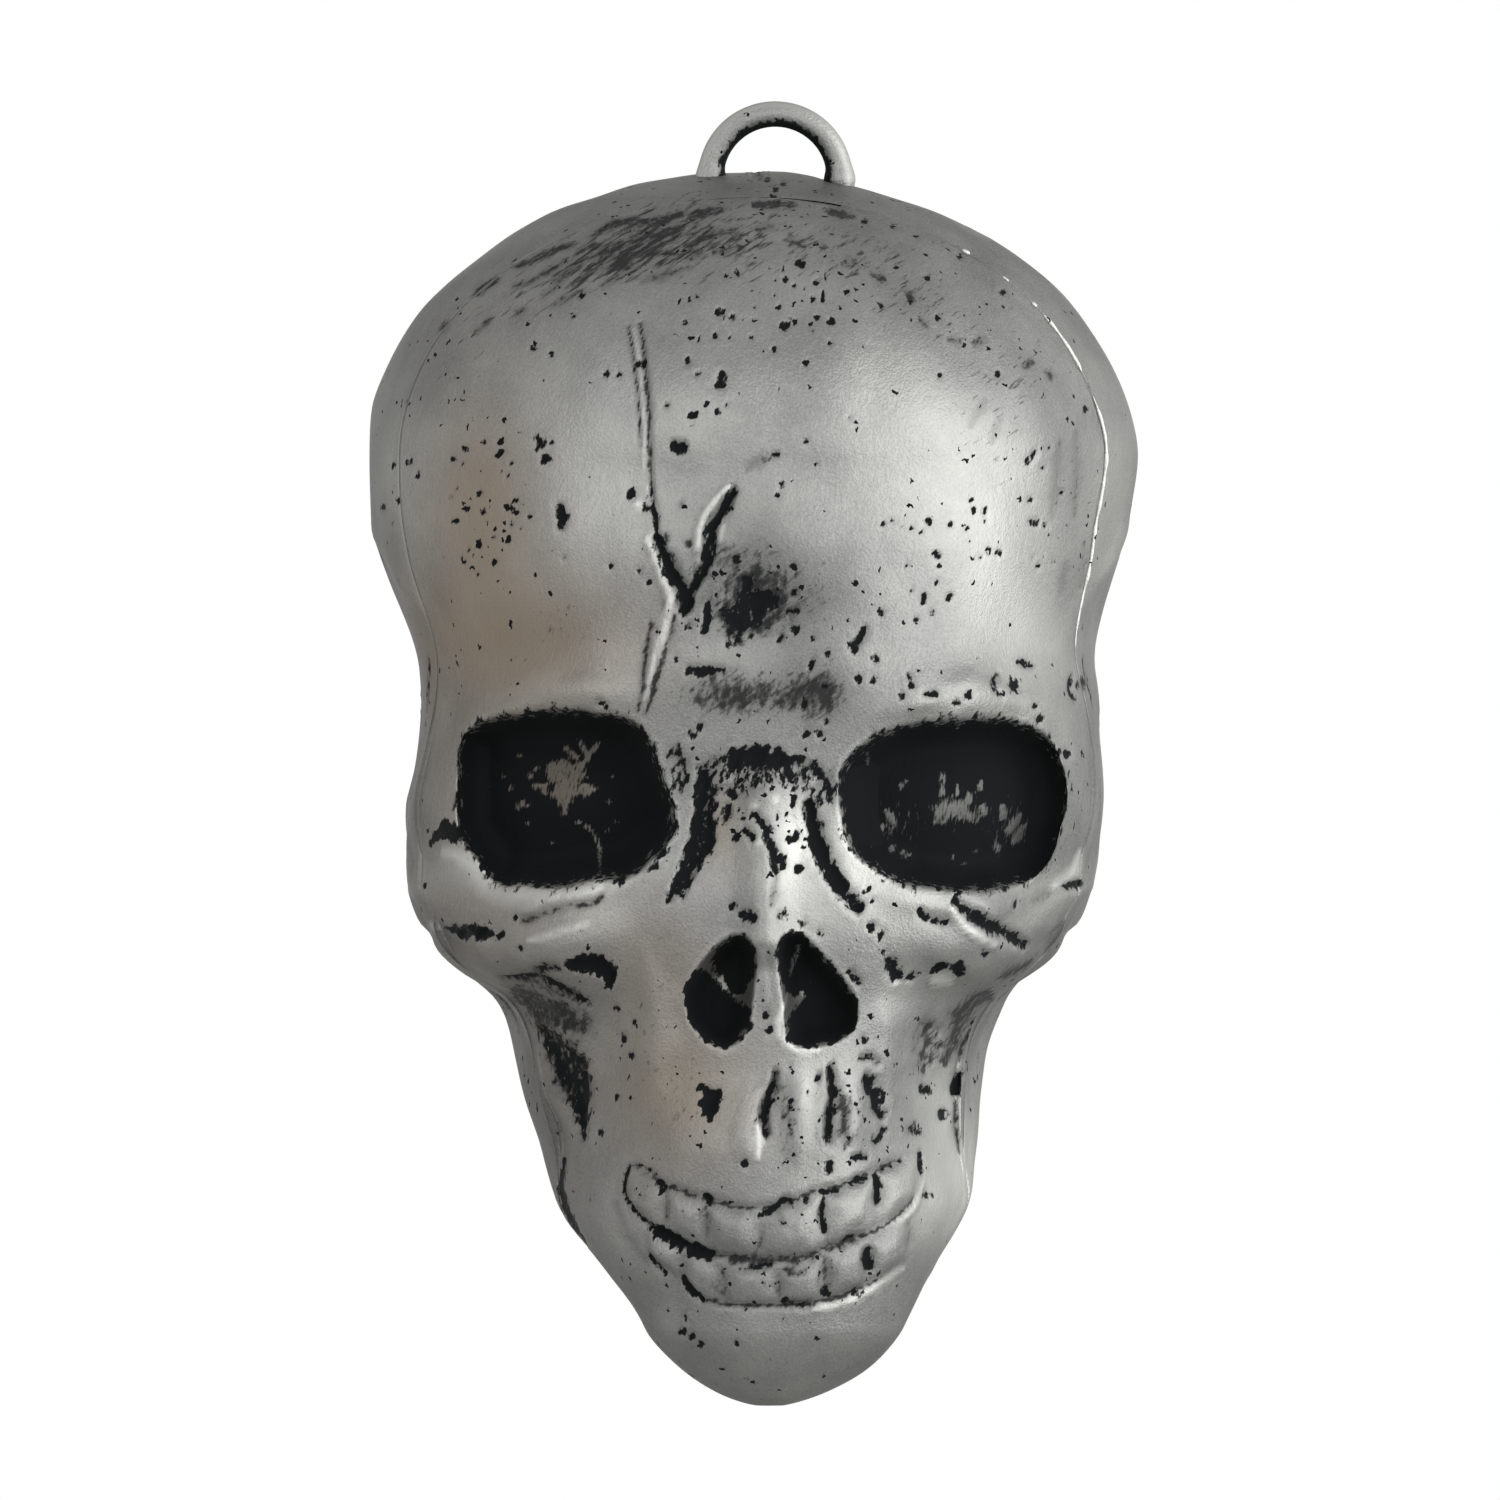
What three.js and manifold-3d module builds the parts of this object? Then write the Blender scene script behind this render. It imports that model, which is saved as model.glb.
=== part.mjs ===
// Hanging skull decoration: a face shell and a back shell of moulded plastic, four screws that join them,
// and a hanging loop that passes through the crown and is held by a plate inside.
// Units are millimetres, +Z is up and the face looks along -Y.
// Inside the skull group, heights start at the chin base, X = 0 is the mid plane and Y = 0 is the widest plane.
// The exported group moves that frame, so that the origin is the point in the loop where a hook bears.

import * as THREE from "three";
import { mergeVertices } from "three/addons/utils/BufferGeometryUtils.js";
import Module from "manifold-3d";

const wasm = await Module();
wasm.setup();

// Overall form
const SKULL_WIDTH = 100; // across the vault
const SKULL_HEIGHT = 158.4; // chin base to crown
const VAULT_HEIGHT = 121; // chin base to the widest level
const FACE_REACH = 49; // widest plane to the foremost section of the face
const REAR_REACH = 53; // widest plane to the rear of the head
const CHIN_ROUND = 10; // height over which the chin base rounds off
const JAW_DRIFT = 2.4; // how far the chin sits off the mid plane
const JAW_DRIFT_TOP = 36; // height where the jaw starts to drift
const FACE_LEAN = 2.7; // how far the middle of the features sits off the mid plane at the chin base
const FACE_LEAN_TOP = 110; // height where the middle of the features meets the mid plane

// Horizontal sections from the chin base to the widest level of the vault, joined by smooth curves.
// Each is written in shares of the sizes above: level of VAULT_HEIGHT, wide and rear of half the SKULL_WIDTH.
// front, axis and back place the face, the widest line and the rear of the section: a negative share is of
// FACE_REACH and lies before the widest plane, a positive one is of REAR_REACH and lies behind it.
// rear is the width that the section draws in to behind its widest line, and power is 2 for an ellipse.
// The sections end in two round caps: the crown above the vault, and the round of the chin base.
const SECTIONS = [
  { level: 0, wide: 0.26, rear: 0.24, front: -0.88, axis: -0.63, back: -0.37, power: 2.1 }, // chin base
  { level: 0.083, wide: 0.342, rear: 0.3, front: -0.94, axis: -0.55, back: -0.25, power: 2.2 }, // chin
  { level: 0.182, wide: 0.492, rear: 0.42, front: -0.99, axis: -0.31, back: 0.02, power: 2.3 }, // mouth
  { level: 0.264, wide: 0.56, rear: 0.46, front: -1, axis: -0.16, back: 0.21, power: 2.2 }, // jaw angle
  { level: 0.364, wide: 0.606, rear: 0.5, front: -0.97, axis: -0.06, back: 0.4, power: 2.2 }, // upper jaw
  { level: 0.426, wide: 0.652, rear: 0.56, front: -0.97, axis: 0, back: 0.51, power: 2.3 }, // cheek hollow
  { level: 0.512, wide: 0.848, rear: 0.66, front: -0.97, axis: 0, back: 0.68, power: 2.5 }, // cheek
  { level: 0.624, wide: 0.902, rear: 0.78, front: -0.95, axis: 0, back: 0.85, power: 2.6 }, // cheekbone
  { level: 0.777, wide: 0.872, rear: 0.87, front: -0.98, axis: 0, back: 0.98, power: 2.3 }, // temple
  { level: 0.901, wide: 0.962, rear: 0.96, front: -0.99, axis: 0, back: 1, power: 2.1 }, // forehead
  { level: 1, wide: 1, rear: 1, front: -0.96, axis: 0, back: 0.96, power: 2.05 }, // vault
];

// Shell construction
const WALL = 2;
const PARTING_Y = -20; // plane where the two shells meet
const PARTING_GAP = 0.3;
const FIT_GAP = 0.3; // clearance between pieces that seat on or pass through each other

// Eye sockets
const EYE_SPREAD = 25.2; // socket centre to the middle of the face
const EYE_HEIGHT = 77.4;
const EYE_HALF_WIDTH = 14.4;
const EYE_HALF_HEIGHT = 11.8;
const EYE_DEPTH = 9;
const EYE_POWER = 2.7;
const EYE_FLOOR = 0.4; // share of the socket that is floor before the wall rises
const EYE_DOME = 2; // how far the middle of the socket floor stands up

// Nose opening, bridge and grooves beside the bridge
const NOSE_HEIGHT = 53;
const NOSE_SPREAD = 5.9;
const NOSE_HALF_WIDTH = 5.2;
const NOSE_HALF_HEIGHT = 7.6;
const NOSE_TURN = 0.3;
const NOSE_DEPTH = 5.5;
const NOSE_FLOOR = 0.25;
const BRIDGE_TOP = 84;
const BRIDGE_BASE = 60;
const BRIDGE_HALF_WIDTH = 4.5;
const BRIDGE_RISE = 2.2;

// Brow, cheekbones and the hollows under them
const BROW_HEIGHT = 92;
const BROW_HALF_HEIGHT = 7;
const BROW_HALF_WIDTH = 19;
const BROW_RISE = 1.6;
const GLABELLA_HEIGHT = 101;
const GLABELLA_RADIUS = 8;
const GLABELLA_DEPTH = 1.3;
const CHEEK_SPREAD = 27.5;
const CHEEK_HEIGHT = 61;
const CHEEK_RADIUS = 9;
const CHEEK_RISE = 1.8;
const HOLLOW_SPREAD = 22.5;
const HOLLOW_HEIGHT = 41;
const HOLLOW_HALF_WIDTH = 7;
const HOLLOW_HALF_HEIGHT = 12;
const HOLLOW_DEPTH = 3.2;
const RELIEF_FADE = 0.35; // share of a section's depth over which the relief fades in from the widest line

// Teeth: two rows around a dental arch, on a smile curve: height = row height + SMILE * across^2
const DENTAL_ARCH = 23; // radius in plan
const SMILE = 0.021;
const UPPER_TEETH = { count: 7, pitch: 6.5, height: 22.6, tall: 7.6, proud: 1.7 };
const LOWER_TEETH = { count: 6, pitch: 6, height: 15.4, tall: 6.6, proud: 1.5 };
const TOOTH_SPACE = 0.3; // gap between two teeth of a row
const TOOTH_ROOT = 2.8; // how far a tooth reaches into the jaw
const TOOTH_POWER = 4; // 2 is a ball, larger is more of a block

// Hanging loop and its anchor
const LOOP_BAR = 3.3; // bar diameter
const LOOP_WIDTH = 19.9; // outside
const LOOP_RISE = 9.1; // crown to the top of the bar
const LOOP_OFFSET_X = 2.6;
const LOOP_OFFSET_Y = -5; // over the centre of mass, so that the face hangs upright
const LOOP_HEAD_DIAMETER = 6.4;
const LOOP_HEAD_THICKNESS = 1.6;
const PLATE_THICKNESS = 2.4;
const PLATE_MARGIN = 1.4; // plate edge beyond the loop's heads
const PAD_MARGIN = 1; // pad edge beyond the plate
const PAD_SKIN = 1; // least thickness of the pad under the crown

// Screws and their bosses
const SCREW_DIAMETER = 3;
const SCREW_LENGTH = 12;
const SCREW_TIP = 2.4;
const SCREW_HEAD_DIAMETER = 6;
const SCREW_HEAD_HEIGHT = 2.2;
const SCREW_SEAT = 5; // boss material between the parting plane and the screw head
const SCREW_SLOT_WIDTH = 0.9;
const SCREW_SLOT_LENGTH = 3.6;
const SCREW_SLOT_DEPTH = 1.2;
const BOSS_WALL = 1.8;
const BOSS_LAND = 1.2; // clear space between a boss and the shell wall
const SPIGOT_HEIGHT = 1.6; // locating ring on each back boss that enters the face boss
const SPIGOT_WALL = 1;
const SCREW_HEIGHTS = { upper: 131, lower: 31 };

// Mesh density
const FACE_GRID = { bodyRows: 48, crownRows: 8, baseRows: 5, front: 48, back: 6 };
const BACK_GRID = { bodyRows: 24, crownRows: 7, baseRows: 3, front: 20, back: 22 };
const INNER_GRID = { bodyRows: 20, crownRows: 5, baseRows: 3, front: 24, back: 14 };
const FRONT_CROWDING = 0.4; // share by which columns crowd towards the middle of the face
const ROUND_SIDES = 20;
const LOOP_SIDES = 12;
const LOOP_STEPS = 30;
const TOOTH_SIDES = 8;
const TOOTH_RINGS = 6;

const FAR = 4 * SKULL_HEIGHT; // larger than the object, for cutting blocks and hole lengths
const PAST = 1; // how far a short cutter runs past the face that it cuts

const SILVER = new THREE.MeshStandardMaterial({ color: 0x9c9c99, roughness: 0.42, metalness: 0.85 });
const BLACK_PLASTIC = new THREE.MeshStandardMaterial({ color: 0x17181a, roughness: 0.6, metalness: 0 });
const ZINC = new THREE.MeshStandardMaterial({ color: 0xb4b7ba, roughness: 0.35, metalness: 1 });

// Smooth curves

function smooth(from, to, value) {
  const t = THREE.MathUtils.clamp((value - from) / (to - from), 0, 1);
  return t * t * (3 - 2 * t);
}

// Slope at a station of a curve that never overshoots its stations.
function stationSlope(key, i) {
  if (i === 0 || i === SECTIONS.length - 1) return 0;
  const below = SECTIONS[i].level - SECTIONS[i - 1].level;
  const above = SECTIONS[i + 1].level - SECTIONS[i].level;
  const slopeBelow = (SECTIONS[i][key] - SECTIONS[i - 1][key]) / below;
  const slopeAbove = (SECTIONS[i + 1][key] - SECTIONS[i][key]) / above;
  if (slopeBelow * slopeAbove <= 0) return 0;
  return (2 * slopeBelow * slopeAbove) / (slopeBelow + slopeAbove);
}

function stationValue(key, level) {
  const found = SECTIONS.findIndex((s, i) => i > 0 && level <= s.level);
  const i = (found < 0 ? SECTIONS.length - 1 : found) - 1;
  const low = SECTIONS[i];
  const high = SECTIONS[i + 1];
  const span = high.level - low.level;
  const t = THREE.MathUtils.clamp((level - low.level) / span, 0, 1);
  const rise = smooth(0, 1, t);
  const bend = t * (1 - t) * span * (stationSlope(key, i) * (1 - t) - stationSlope(key, i + 1) * t);
  return low[key] + (high[key] - low[key]) * rise + bend;
}

// Y position of a share of the reach before or behind the widest plane.
const placeAt = (share) => share * (share < 0 ? FACE_REACH : REAR_REACH);

// The horizontal section at a height of the skin that lies inset below the outer surface.
function sectionAt(height, inset) {
  const level = Math.min(height / VAULT_HEIGHT, 1);
  const over = (height - VAULT_HEIGHT) / (SKULL_HEIGHT - inset - VAULT_HEIGHT);
  const under = (CHIN_ROUND - height) / (CHIN_ROUND - inset);
  const cap = Math.sqrt(Math.max(0, 1 - Math.max(over, under, 0) ** 2));
  const axis = placeAt(stationValue("axis", level));
  return {
    halfWidth: (stationValue("wide", level) * SKULL_WIDTH / 2 - inset) * cap,
    rearHalfWidth: (stationValue("rear", level) * SKULL_WIDTH / 2 - inset) * cap,
    toFront: (axis - placeAt(stationValue("front", level)) - inset) * cap,
    toBack: (placeAt(stationValue("back", level)) - axis - inset) * cap,
    axis,
    power: stationValue("power", level),
    middle: JAW_DRIFT * smooth(JAW_DRIFT_TOP, CHIN_ROUND, height),
  };
}

const faceMiddle = (height) => FACE_LEAN * Math.max(0, 1 - height / FACE_LEAN_TOP);

// Relief of the face: positive values sink the surface, negative values raise it

const hump = (u) => Math.exp(-2 * u * u);
const pit = (u, floor) => 1 - smooth(floor, 1, u);

function turnedRadius(across, up, halfWidth, halfHeight, turn, power) {
  const a = Math.abs(across * Math.cos(turn) + up * Math.sin(turn)) / halfWidth;
  const b = Math.abs(up * Math.cos(turn) - across * Math.sin(turn)) / halfHeight;
  return (a ** power + b ** power) ** (1 / power);
}

// grow widens the sunk features, so that an inner skin keeps clear of them.
function relief(x, height, grow) {
  const across = Math.abs(x - faceMiddle(height));
  const eye = turnedRadius(
    across - EYE_SPREAD, height - EYE_HEIGHT, EYE_HALF_WIDTH + grow, EYE_HALF_HEIGHT + grow, 0, EYE_POWER);
  const nose = turnedRadius(
    across - NOSE_SPREAD, height - NOSE_HEIGHT, NOSE_HALF_WIDTH + grow, NOSE_HALF_HEIGHT + grow, NOSE_TURN, 2);
  const brow = Math.hypot((across - EYE_SPREAD) / BROW_HALF_WIDTH, (height - BROW_HEIGHT) / BROW_HALF_HEIGHT);
  const glabella = Math.hypot(across, height - GLABELLA_HEIGHT) / GLABELLA_RADIUS;
  const cheek = Math.hypot(across - CHEEK_SPREAD, height - CHEEK_HEIGHT) / CHEEK_RADIUS;
  const hollow = Math.hypot(
    (across - HOLLOW_SPREAD) / (HOLLOW_HALF_WIDTH + grow), (height - HOLLOW_HEIGHT) / (HOLLOW_HALF_HEIGHT + grow));
  const bridge = hump(across / BRIDGE_HALF_WIDTH) *
    smooth(BRIDGE_TOP, BRIDGE_TOP - BRIDGE_HALF_WIDTH, height) *
    smooth(BRIDGE_BASE - BRIDGE_HALF_WIDTH, BRIDGE_BASE, height);
  const sunk = (EYE_DEPTH - EYE_DOME * hump(2 * eye)) * pit(eye, EYE_FLOOR) +
    NOSE_DEPTH * pit(nose, NOSE_FLOOR) +
    GLABELLA_DEPTH * hump(glabella) +
    HOLLOW_DEPTH * hump(hollow);
  const raised = BROW_RISE * hump(brow) + CHEEK_RISE * hump(cheek) + BRIDGE_RISE * bridge;
  return { sunk, raised };
}

// A point of the skin. The angle is 0 at the middle of the face and runs to a half turn at the rear.
function skinPoint(height, angle, inset) {
  const s = sectionAt(height, inset);
  const exponent = 2 / s.power;
  const across = Math.sign(Math.sin(angle)) * Math.abs(Math.sin(angle)) ** exponent;
  const along = Math.abs(Math.cos(angle)) ** exponent;
  if (Math.cos(angle) < 0) {
    const width = THREE.MathUtils.lerp(s.halfWidth, s.rearHalfWidth, smooth(0, 1, along));
    return new THREE.Vector3(s.middle + width * across, s.axis + s.toBack * along, height);
  }
  const x = s.middle + s.halfWidth * across;
  const plain = s.axis - s.toFront * along;
  const fade = smooth(0, RELIEF_FADE, along);
  const { sunk, raised } = relief(x, height, inset);
  const deepest = Math.max(plain, PARTING_Y - WALL); // a sunk feature stays in the face shell
  const y = Math.min(plain + sunk * fade, deepest) - raised * fade;
  return new THREE.Vector3(x, y, height);
}

// Half the width of the skull where a frontal plane cuts it at a height.
function halfWidthAt(height, y, inset) {
  const s = sectionAt(height, inset);
  const reach = y < s.axis ? s.toFront : s.toBack;
  const share = Math.min(1, Math.abs(y - s.axis) / reach);
  return s.halfWidth * (1 - share ** s.power) ** (1 / s.power);
}

// Height of the crown's skin above a point of the plan.
function crownHeight(x, y, inset) {
  const vault = sectionAt(VAULT_HEIGHT, inset);
  const reach = y < vault.axis ? vault.toFront : vault.toBack;
  const share = Math.hypot(x / vault.halfWidth, (y - vault.axis) / reach);
  return VAULT_HEIGHT + (SKULL_HEIGHT - inset - VAULT_HEIGHT) * Math.sqrt(Math.max(0, 1 - share * share));
}

// Solids

function solidOf(geometry) {
  const bare = geometry.clone();
  bare.deleteAttribute("normal");
  bare.deleteAttribute("uv");
  const merged = mergeVertices(bare);
  return new wasm.Manifold(new wasm.Mesh({
    numProp: 3,
    vertProperties: merged.attributes.position.array,
    triVerts: new Uint32Array(merged.index.array),
  }));
}

function meshOf(name, solid, material) {
  const { vertProperties, triVerts } = solid.getMesh();
  const geometry = new THREE.BufferGeometry();
  geometry.setAttribute("position", new THREE.BufferAttribute(vertProperties, 3));
  geometry.setIndex(new THREE.BufferAttribute(triVerts, 1));
  geometry.computeVertexNormals();
  const mesh = new THREE.Mesh(geometry, material);
  mesh.name = name;
  return mesh;
}

// A cylinder along Y between two Y positions.
function rod(x, z, radius, fromY, toY) {
  const geometry = new THREE.CylinderGeometry(radius, radius, toY - fromY, ROUND_SIDES);
  return solidOf(geometry.translate(x, (fromY + toY) / 2, z));
}

// An upright cylinder between two heights.
function post(x, y, radius, fromZ, toZ, sides) {
  const geometry = new THREE.CylinderGeometry(radius, radius, toZ - fromZ, sides).rotateX(Math.PI / 2);
  return solidOf(geometry.translate(x, y, (fromZ + toZ) / 2));
}

function block(low, high) {
  const size = high.clone().sub(low);
  const centre = high.clone().add(low).multiplyScalar(0.5);
  return solidOf(new THREE.BoxGeometry(size.x, size.y, size.z).translate(centre.x, centre.y, centre.z));
}

// Heights of a skin's rows, closer together where the crown and the chin base round over.
function rowHeights(inset, grid) {
  const heights = [];
  for (let i = 1; i < grid.baseRows; i++) {
    const turn = (i / grid.baseRows) * Math.PI / 2;
    heights.push(CHIN_ROUND - (CHIN_ROUND - inset) * Math.cos(turn));
  }
  for (let i = 0; i <= grid.bodyRows; i++) {
    heights.push(CHIN_ROUND + (VAULT_HEIGHT - CHIN_ROUND) * (i / grid.bodyRows));
  }
  for (let i = 1; i < grid.crownRows; i++) {
    const turn = (i / grid.crownRows) * Math.PI / 2;
    heights.push(VAULT_HEIGHT + (SKULL_HEIGHT - inset - VAULT_HEIGHT) * Math.sin(turn));
  }
  return heights;
}

// The closed skin of the whole skull, inset below the outer surface.
function skinSolid(inset, grid) {
  const angles = [];
  for (let i = 0; i < grid.front; i++) {
    const u = -1 + 2 * (i / grid.front);
    angles.push((Math.PI / 2) * u * (1 - FRONT_CROWDING + FRONT_CROWDING * u * u));
  }
  for (let i = 0; i < grid.back; i++) angles.push(Math.PI / 2 + Math.PI * (i / grid.back));
  const heights = rowHeights(inset, grid);
  const points = [skinPoint(inset, 0, inset)];
  for (const height of heights) {
    for (const angle of angles) points.push(skinPoint(height, angle, inset));
  }
  points.push(skinPoint(SKULL_HEIGHT - inset, 0, inset));
  const columns = angles.length;
  const faces = [];
  const at = (row, column) => 1 + row * columns + (column % columns);
  for (let c = 0; c < columns; c++) {
    faces.push(0, at(0, c + 1), at(0, c));
    for (let r = 0; r + 1 < heights.length; r++) {
      const [a, b, d, e] = [at(r, c), at(r, c + 1), at(r + 1, c + 1), at(r + 1, c)];
      // each cell is split along its shorter diagonal
      if (points[a].distanceTo(points[d]) < points[b].distanceTo(points[e])) faces.push(a, b, d, a, d, e);
      else faces.push(a, b, e, b, d, e);
    }
    faces.push(at(heights.length - 1, c), at(heights.length - 1, c + 1), points.length - 1);
  }
  const geometry = new THREE.BufferGeometry().setFromPoints(points).setIndex(faces);
  return solidOf(geometry);
}

// One tooth: a rounded block whose outer face stands proud of the jaw.
function toothSolid(row, index, middle) {
  const turn = ((index - (row.count - 1) / 2) * row.pitch) / DENTAL_ARCH;
  const across = DENTAL_ARCH * Math.sin(turn);
  const height = row.height + SMILE * across * across;
  const x = middle + across;
  const s = sectionAt(height, 0);
  const share = Math.abs(x - s.middle) / s.halfWidth;
  const skinY = s.axis - s.toFront * (1 - share ** s.power) ** (1 / s.power);
  const half = new THREE.Vector3((row.pitch - TOOTH_SPACE) / 2, (row.proud + TOOTH_ROOT) / 2, row.tall / 2);
  const ball = new THREE.SphereGeometry(1, TOOTH_SIDES, TOOTH_RINGS).rotateX(Math.PI / 2);
  const place = ball.getAttribute("position");
  for (let i = 0; i < place.count; i++) {
    const p = new THREE.Vector3().fromBufferAttribute(place, i);
    const size = (Math.abs(p.x) ** TOOTH_POWER + Math.abs(p.y) ** TOOTH_POWER + Math.abs(p.z) ** TOOTH_POWER)
      ** (1 / TOOTH_POWER);
    p.divideScalar(size).multiply(half);
    place.setXYZ(i, p.x, p.y, p.z);
  }
  const depth = half.y - row.proud; // tooth centre behind the skin, square to the arch
  return solidOf(ball.rotateZ(turn)
    .translate(x - depth * Math.sin(turn), skinY + depth * Math.cos(turn), height));
}

function teethSolids() {
  return [UPPER_TEETH, LOWER_TEETH].flatMap((row) =>
    Array.from({ length: row.count }, (_, i) => toothSolid(row, i, faceMiddle(row.height))));
}

// Screw places: beside the wall of the parting plane, left and right, at two heights
const BOSS_RADIUS = SCREW_HEAD_DIAMETER / 2 + FIT_GAP + BOSS_WALL;
const screwPlaces = Object.entries(SCREW_HEIGHTS).flatMap(([level, height]) =>
  [["left", 1], ["right", -1]].map(([hand, sign]) => ({
    name: `screw_${level}_${hand}`,
    x: sectionAt(height, 0).middle +
      sign * (halfWidthAt(height, PARTING_Y, WALL) - BOSS_RADIUS - BOSS_LAND),
    z: height,
  })));

const FACE_EDGE = PARTING_Y - PARTING_GAP / 2;
const BACK_EDGE = PARTING_Y + PARTING_GAP / 2;
const SCREW_SEAT_Y = BACK_EDGE + SCREW_SEAT;
const SHANK_HOLE = SCREW_DIAMETER / 2 + FIT_GAP;
const SPIGOT_RADIUS = SHANK_HOLE + SPIGOT_WALL;

// Loop places: the loop stands on the crown, and its legs go through the crown, the pad and the plate
const LOOP_RADIUS = (LOOP_WIDTH - LOOP_BAR) / 2; // centre line
const LOOP_CENTRE_Z = SKULL_HEIGHT + LOOP_RISE - LOOP_WIDTH / 2;
const HANG_POINT = new THREE.Vector3(LOOP_OFFSET_X, LOOP_OFFSET_Y, LOOP_CENTRE_Z + LOOP_RADIUS - LOOP_BAR / 2);
const PLATE_HALF = new THREE.Vector2(
  LOOP_RADIUS + LOOP_HEAD_DIAMETER / 2 + PLATE_MARGIN, LOOP_HEAD_DIAMETER / 2 + PLATE_MARGIN);
const PAD_HALF = PLATE_HALF.clone().addScalar(PAD_MARGIN);
const PAD_FLOOR = padFloor();
const PLATE_TOP = PAD_FLOOR - FIT_GAP;
const PLATE_FLOOR = PLATE_TOP - PLATE_THICKNESS;
const LOOP_HEAD_TOP = PLATE_FLOOR - FIT_GAP;
const LOOP_FLOOR = LOOP_HEAD_TOP - LOOP_HEAD_THICKNESS;
const legs = [-1, 1].map((sign) => LOOP_OFFSET_X + sign * LOOP_RADIUS);

// The pad's flat underside lies below the lowest of the crown's inner skin over the pad's corners.
function padFloor() {
  const corners = [-1, 1].flatMap((i) => [-1, 1].map((j) =>
    crownHeight(LOOP_OFFSET_X + i * PAD_HALF.x, LOOP_OFFSET_Y + j * PAD_HALF.y, WALL)));
  return Math.min(...corners) - PAD_SKIN;
}

const hollow = skinSolid(WALL, INNER_GRID);
const core = skinSolid(WALL / 2, INNER_GRID); // bosses and the pad end inside the wall, on this skin

// The face shell: everything before the parting plane, with bosses that take the screws.
function faceShell() {
  const front = block(new THREE.Vector3(-FAR, -FAR, -FAR), new THREE.Vector3(FAR, FACE_EDGE, FAR));
  const sculpted = teethSolids().reduce((sum, tooth) => sum.add(tooth), skinSolid(0, FACE_GRID));
  let shell = sculpted.subtract(hollow).intersect(front);
  for (const { x, z } of screwPlaces) {
    const boss = rod(x, z, BOSS_RADIUS, -FAR, FACE_EDGE).intersect(core);
    const tip = SCREW_SEAT_Y - SCREW_LENGTH - FIT_GAP;
    shell = shell.add(boss)
      .subtract(rod(x, z, SHANK_HOLE, tip, PARTING_Y))
      .subtract(rod(x, z, SPIGOT_RADIUS + FIT_GAP, FACE_EDGE - SPIGOT_HEIGHT - FIT_GAP, PARTING_Y));
  }
  return meshOf("face_shell", shell, SILVER);
}

// The back shell: everything behind the parting plane, with screw wells, locating spigots and the loop's pad.
function backShell() {
  const rear = block(new THREE.Vector3(-FAR, BACK_EDGE, -FAR), new THREE.Vector3(FAR, FAR, FAR));
  const padLow = new THREE.Vector3(LOOP_OFFSET_X - PAD_HALF.x, LOOP_OFFSET_Y - PAD_HALF.y, PAD_FLOOR);
  const padHigh = new THREE.Vector3(LOOP_OFFSET_X + PAD_HALF.x, LOOP_OFFSET_Y + PAD_HALF.y, FAR);
  let shell = skinSolid(0, BACK_GRID).subtract(hollow).intersect(rear);
  shell = shell.add(block(padLow, padHigh).intersect(core));
  for (const { x, z } of screwPlaces) {
    const well = SCREW_HEAD_DIAMETER / 2 + FIT_GAP;
    shell = shell.add(rod(x, z, BOSS_RADIUS, BACK_EDGE, FAR).intersect(core))
      .add(rod(x, z, SPIGOT_RADIUS, FACE_EDGE - SPIGOT_HEIGHT, SCREW_SEAT_Y))
      .subtract(rod(x, z, well, SCREW_SEAT_Y, FAR))
      .subtract(rod(x, z, SHANK_HOLE, -FAR, FAR));
  }
  for (const x of legs) {
    shell = shell.subtract(post(x, LOOP_OFFSET_Y, LOOP_BAR / 2 + FIT_GAP, PAD_FLOOR - FIT_GAP, FAR, LOOP_SIDES));
  }
  return meshOf("back_shell", shell, SILVER);
}

// Centre line of the hanging loop: up one leg, over a half circle and down the other leg.
class LoopPath extends THREE.Curve {
  getPoint(t, target = new THREE.Vector3()) {
    const leg = LOOP_CENTRE_Z - LOOP_FLOOR;
    const arc = Math.PI * LOOP_RADIUS;
    const run = t * (2 * leg + arc);
    if (run < leg) return target.set(-LOOP_RADIUS, 0, run - leg);
    if (run > leg + arc) return target.set(LOOP_RADIUS, 0, leg + arc - run);
    const turn = (run - leg) / LOOP_RADIUS;
    return target.set(-LOOP_RADIUS * Math.cos(turn), 0, LOOP_RADIUS * Math.sin(turn));
  }
}

// The loop, with the heads that close its legs below the plate.
function hangingLoop() {
  const bar = new THREE.Shape().absarc(0, 0, LOOP_BAR / 2, 0, 2 * Math.PI);
  const swept = new THREE.ExtrudeGeometry(bar, {
    steps: LOOP_STEPS, curveSegments: LOOP_SIDES / 2, extrudePath: new LoopPath(),
  });
  let loop = solidOf(swept.translate(LOOP_OFFSET_X, LOOP_OFFSET_Y, LOOP_CENTRE_Z));
  for (const x of legs) {
    loop = loop.add(post(x, LOOP_OFFSET_Y, LOOP_HEAD_DIAMETER / 2, LOOP_FLOOR, LOOP_HEAD_TOP, ROUND_SIDES));
  }
  return meshOf("hanging_loop", loop, SILVER);
}

// The flat plate that spreads the loop's pull over the pad inside the crown.
function loopPlate() {
  let plate = block(
    new THREE.Vector3(LOOP_OFFSET_X - PLATE_HALF.x, LOOP_OFFSET_Y - PLATE_HALF.y, PLATE_FLOOR),
    new THREE.Vector3(LOOP_OFFSET_X + PLATE_HALF.x, LOOP_OFFSET_Y + PLATE_HALF.y, PLATE_TOP));
  for (const x of legs) {
    plate = plate.subtract(
      post(x, LOOP_OFFSET_Y, LOOP_BAR / 2 + FIT_GAP, PLATE_FLOOR - PAST, PLATE_TOP + PAST, LOOP_SIDES));
  }
  return meshOf("loop_plate", plate, BLACK_PLASTIC);
}

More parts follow.
